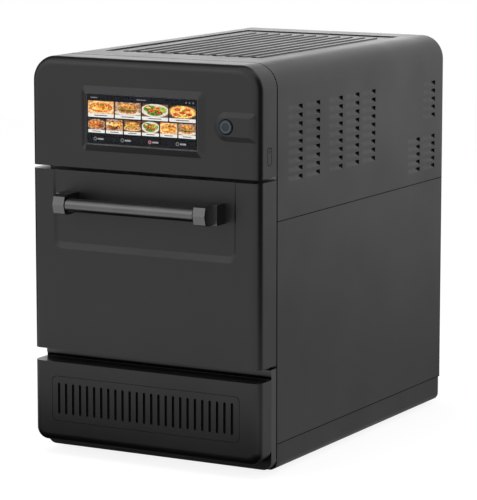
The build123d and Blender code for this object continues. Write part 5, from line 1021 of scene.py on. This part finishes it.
def floor_material(name):
    """Pale floor: white to the camera but for the shadow, with painted shade near the oven in reflections."""
    material = stage_material(name, (FLOOR_SHADE, FLOOR_SHADE, FLOOR_SHADE))
    tree = material.node_tree
    shader = [node for node in tree.nodes if node.type == "BSDF_PRINCIPLED"][0]
    path = tree.nodes.new("ShaderNodeLightPath")
    point = object_point(tree)
    # Painted shade in reflections: glow from the distance to a dark box in front of the oven, and lower near
    # the middle behind the front line
    for operation, amount in (
        ("SUBTRACT", FLOOR_DARK_MIDDLE), ("ABSOLUTE", None), ("SUBTRACT", FLOOR_DARK_HALF),
        ("MAXIMUM", (0, 0, 0)), ("LENGTH", None),
    ):
        node = tree.nodes.new("ShaderNodeVectorMath")
        node.operation = operation
        tree.links.new(point, node.inputs[0])
        if amount is not None:
            node.inputs[1].default_value = tuple(amount)
        point = node.outputs["Value" if operation == "LENGTH" else "Vector"]
    share = remap(tree, point, 0.0, 1.0, (0.0, FLOOR_FAR))
    mirrored = ramp(tree, share, [(place, (level, level, level)) for place, level in FLOOR_MIRROR_SHARES])
    place = tree.nodes.new("ShaderNodeSeparateXYZ")
    tree.links.new(object_point(tree), place.inputs[0])
    aside = combine(tree, "ABSOLUTE", place.outputs["X"], 0.0)
    beside = remap(tree, aside, FLOOR_SIDE_SHARE, 1.0, FLOOR_SIDE_SPAN)
    ahead = combine(tree, "LESS_THAN", place.outputs["Y"], FLOOR_FRONT_LINE)
    mirrored = combine(tree, "MULTIPLY", mirrored, combine(tree, "MAXIMUM", beside, ahead))
    base = combine(tree, "MULTIPLY", path.outputs["Is Camera Ray"], FLOOR_SHADE)
    tree.links.new(base, shader.inputs["Base Color"])
    not_camera = combine(tree, "MAXIMUM", path.outputs["Is Glossy Ray"], path.outputs["Is Transmission Ray"])
    seen = combine(tree, "MULTIPLY", path.outputs["Is Camera Ray"], FLOOR_GLOW)
    glow = combine(tree, "MAXIMUM", seen, combine(tree, "MULTIPLY", not_camera, mirrored))
    tree.links.new(glow, shader.inputs["Emission Strength"])
    return material


def stage_plane(name, size, place, material):
    """Flat stage piece, level until it is turned."""
    mesh_data = bmesh.new()
    half_x = size[0] / 2
    half_y = size[1] / 2
    corners = [(-half_x, -half_y, 0), (half_x, -half_y, 0), (half_x, half_y, 0), (-half_x, half_y, 0)]
    mesh_data.faces.new([mesh_data.verts.new(corner) for corner in corners])
    plane = linked_object(name, mesh_data, [material])
    plane.location = place
    return plane


def only_reflected(plane, turn):
    """Turns a stage piece and hides it from all but reflections."""
    plane.rotation_euler = turn
    plane.visible_camera = False
    plane.visible_diffuse = False
    plane.visible_shadow = False
    plane.visible_transmission = False


def aimed(place, height):
    """Rotation that turns an object's -Z axis to a point above the origin."""
    return (Vector((0, 0, height)) - Vector(place)).to_track_quat("-Z", "Y").to_euler()


def card(name, azimuth, elevation, distance, size, material):
    """Card that faces the oven, and that only reflections see."""
    turn = math.radians(azimuth)
    lift = math.radians(elevation)
    reach = distance * math.cos(lift)
    place = (reach * math.sin(turn), -reach * math.cos(turn), AIM_HEIGHT + distance * math.sin(lift))
    only_reflected(stage_plane(name, size, place, material), aimed(place, AIM_HEIGHT))


def card_wall(name, start, end):
    """Upright card between two places on the floor, which only reflections see."""
    size = (math.dist(start, end), CARD_WALL_HEIGHT)
    middle = ((start[0] + end[0]) / 2, (start[1] + end[1]) / 2, CARD_WALL_HEIGHT / 2)
    turn = math.atan2(end[1] - start[1], end[0] - start[0])
    only_reflected(stage_plane(name, size, middle, card_black), Euler((math.radians(90), 0, turn)))


stage_plane("floor", (FLOOR_SIZE, FLOOR_SIZE), (0, 0, 0), floor_material("floor_white"))

card_black = stage_material("card_black", (CARD_SHADE, CARD_SHADE, CARD_SHADE))
for name, start, end in CARD_WALLS:
    card_wall(name, start, end)
for name, azimuth, elevation, distance, size, glow in CARDS:
    material = card_black
    if glow > 0:
        material = stage_material(name, (SOFTBOX_SHADE, SOFTBOX_SHADE, SOFTBOX_SHADE), glow)
    card(name, azimuth, elevation, distance, size, material)


def area_lamp(name, place, height, size, power):
    """Soft square lamp, aimed at a point above the origin, which reflections don't see."""
    data = bpy.data.lights.new(name, "AREA")
    data.shape = "SQUARE"
    data.size = size
    data.energy = power
    lamp = bpy.data.objects.new(name, data)
    bpy.context.scene.collection.objects.link(lamp)
    lamp.location = place
    lamp.rotation_euler = aimed(place, height)
    lamp.visible_glossy = False


for name, place, height, size, power in LAMPS:
    area_lamp(name, place, height, size, power)

world = bpy.data.worlds.new("studio")
bpy.context.scene.world = world
world.use_nodes = True
world_tree = world.node_tree
world_tree.nodes.clear()
world_output = world_tree.nodes.new("ShaderNodeOutputWorld")
path = world_tree.nodes.new("ShaderNodeLightPath")
seen = combine(world_tree, "MAXIMUM", path.outputs["Is Camera Ray"], path.outputs["Is Glossy Ray"])
seen = combine(world_tree, "MAXIMUM", seen, path.outputs["Is Transmission Ray"])
level = remap(world_tree, seen, WORLD_AMBIENT, 1.0)
backdrop = world_tree.nodes.new("ShaderNodeBackground")
backdrop.inputs["Color"].default_value = (1, 1, 1, 1)
world_tree.links.new(level, backdrop.inputs["Strength"])
world_tree.links.new(backdrop.outputs["Background"], world_output.inputs["Surface"])


# Camera

def place_camera():
    """Camera of the photograph."""
    turn = math.radians(VIEW_AZIMUTH)
    lift = math.radians(VIEW_ELEVATION)
    roll = math.radians(VIEW_ROLL)
    back = Vector((math.sin(turn) * math.cos(lift), -math.cos(turn) * math.cos(lift), math.sin(lift)))
    right = Vector((math.cos(turn), math.sin(turn), 0))
    up = back.cross(right)
    level_right = right * math.cos(roll) + up * math.sin(roll)
    level_up = up * math.cos(roll) - right * math.sin(roll)
    eye = Vector(VIEW_AIM) + back * VIEW_DISTANCE
    data = bpy.data.cameras.new("camera")
    data.sensor_fit = "AUTO"
    data.sensor_width = SENSOR_WIDTH
    data.lens = VIEW_LENS
    data.shift_x = VIEW_SHIFT_X
    data.shift_y = VIEW_SHIFT_Y
    data.clip_start = CLIP_NEAR
    data.clip_end = CLIP_FAR
    camera = bpy.data.objects.new("camera", data)
    bpy.context.scene.collection.objects.link(camera)
    matrix = Matrix((level_right, level_up, back)).transposed().to_4x4()
    matrix.translation = eye
    camera.matrix_world = matrix
    bpy.context.scene.camera = camera


place_camera()
bpy.context.scene.view_settings.view_transform = "Standard"
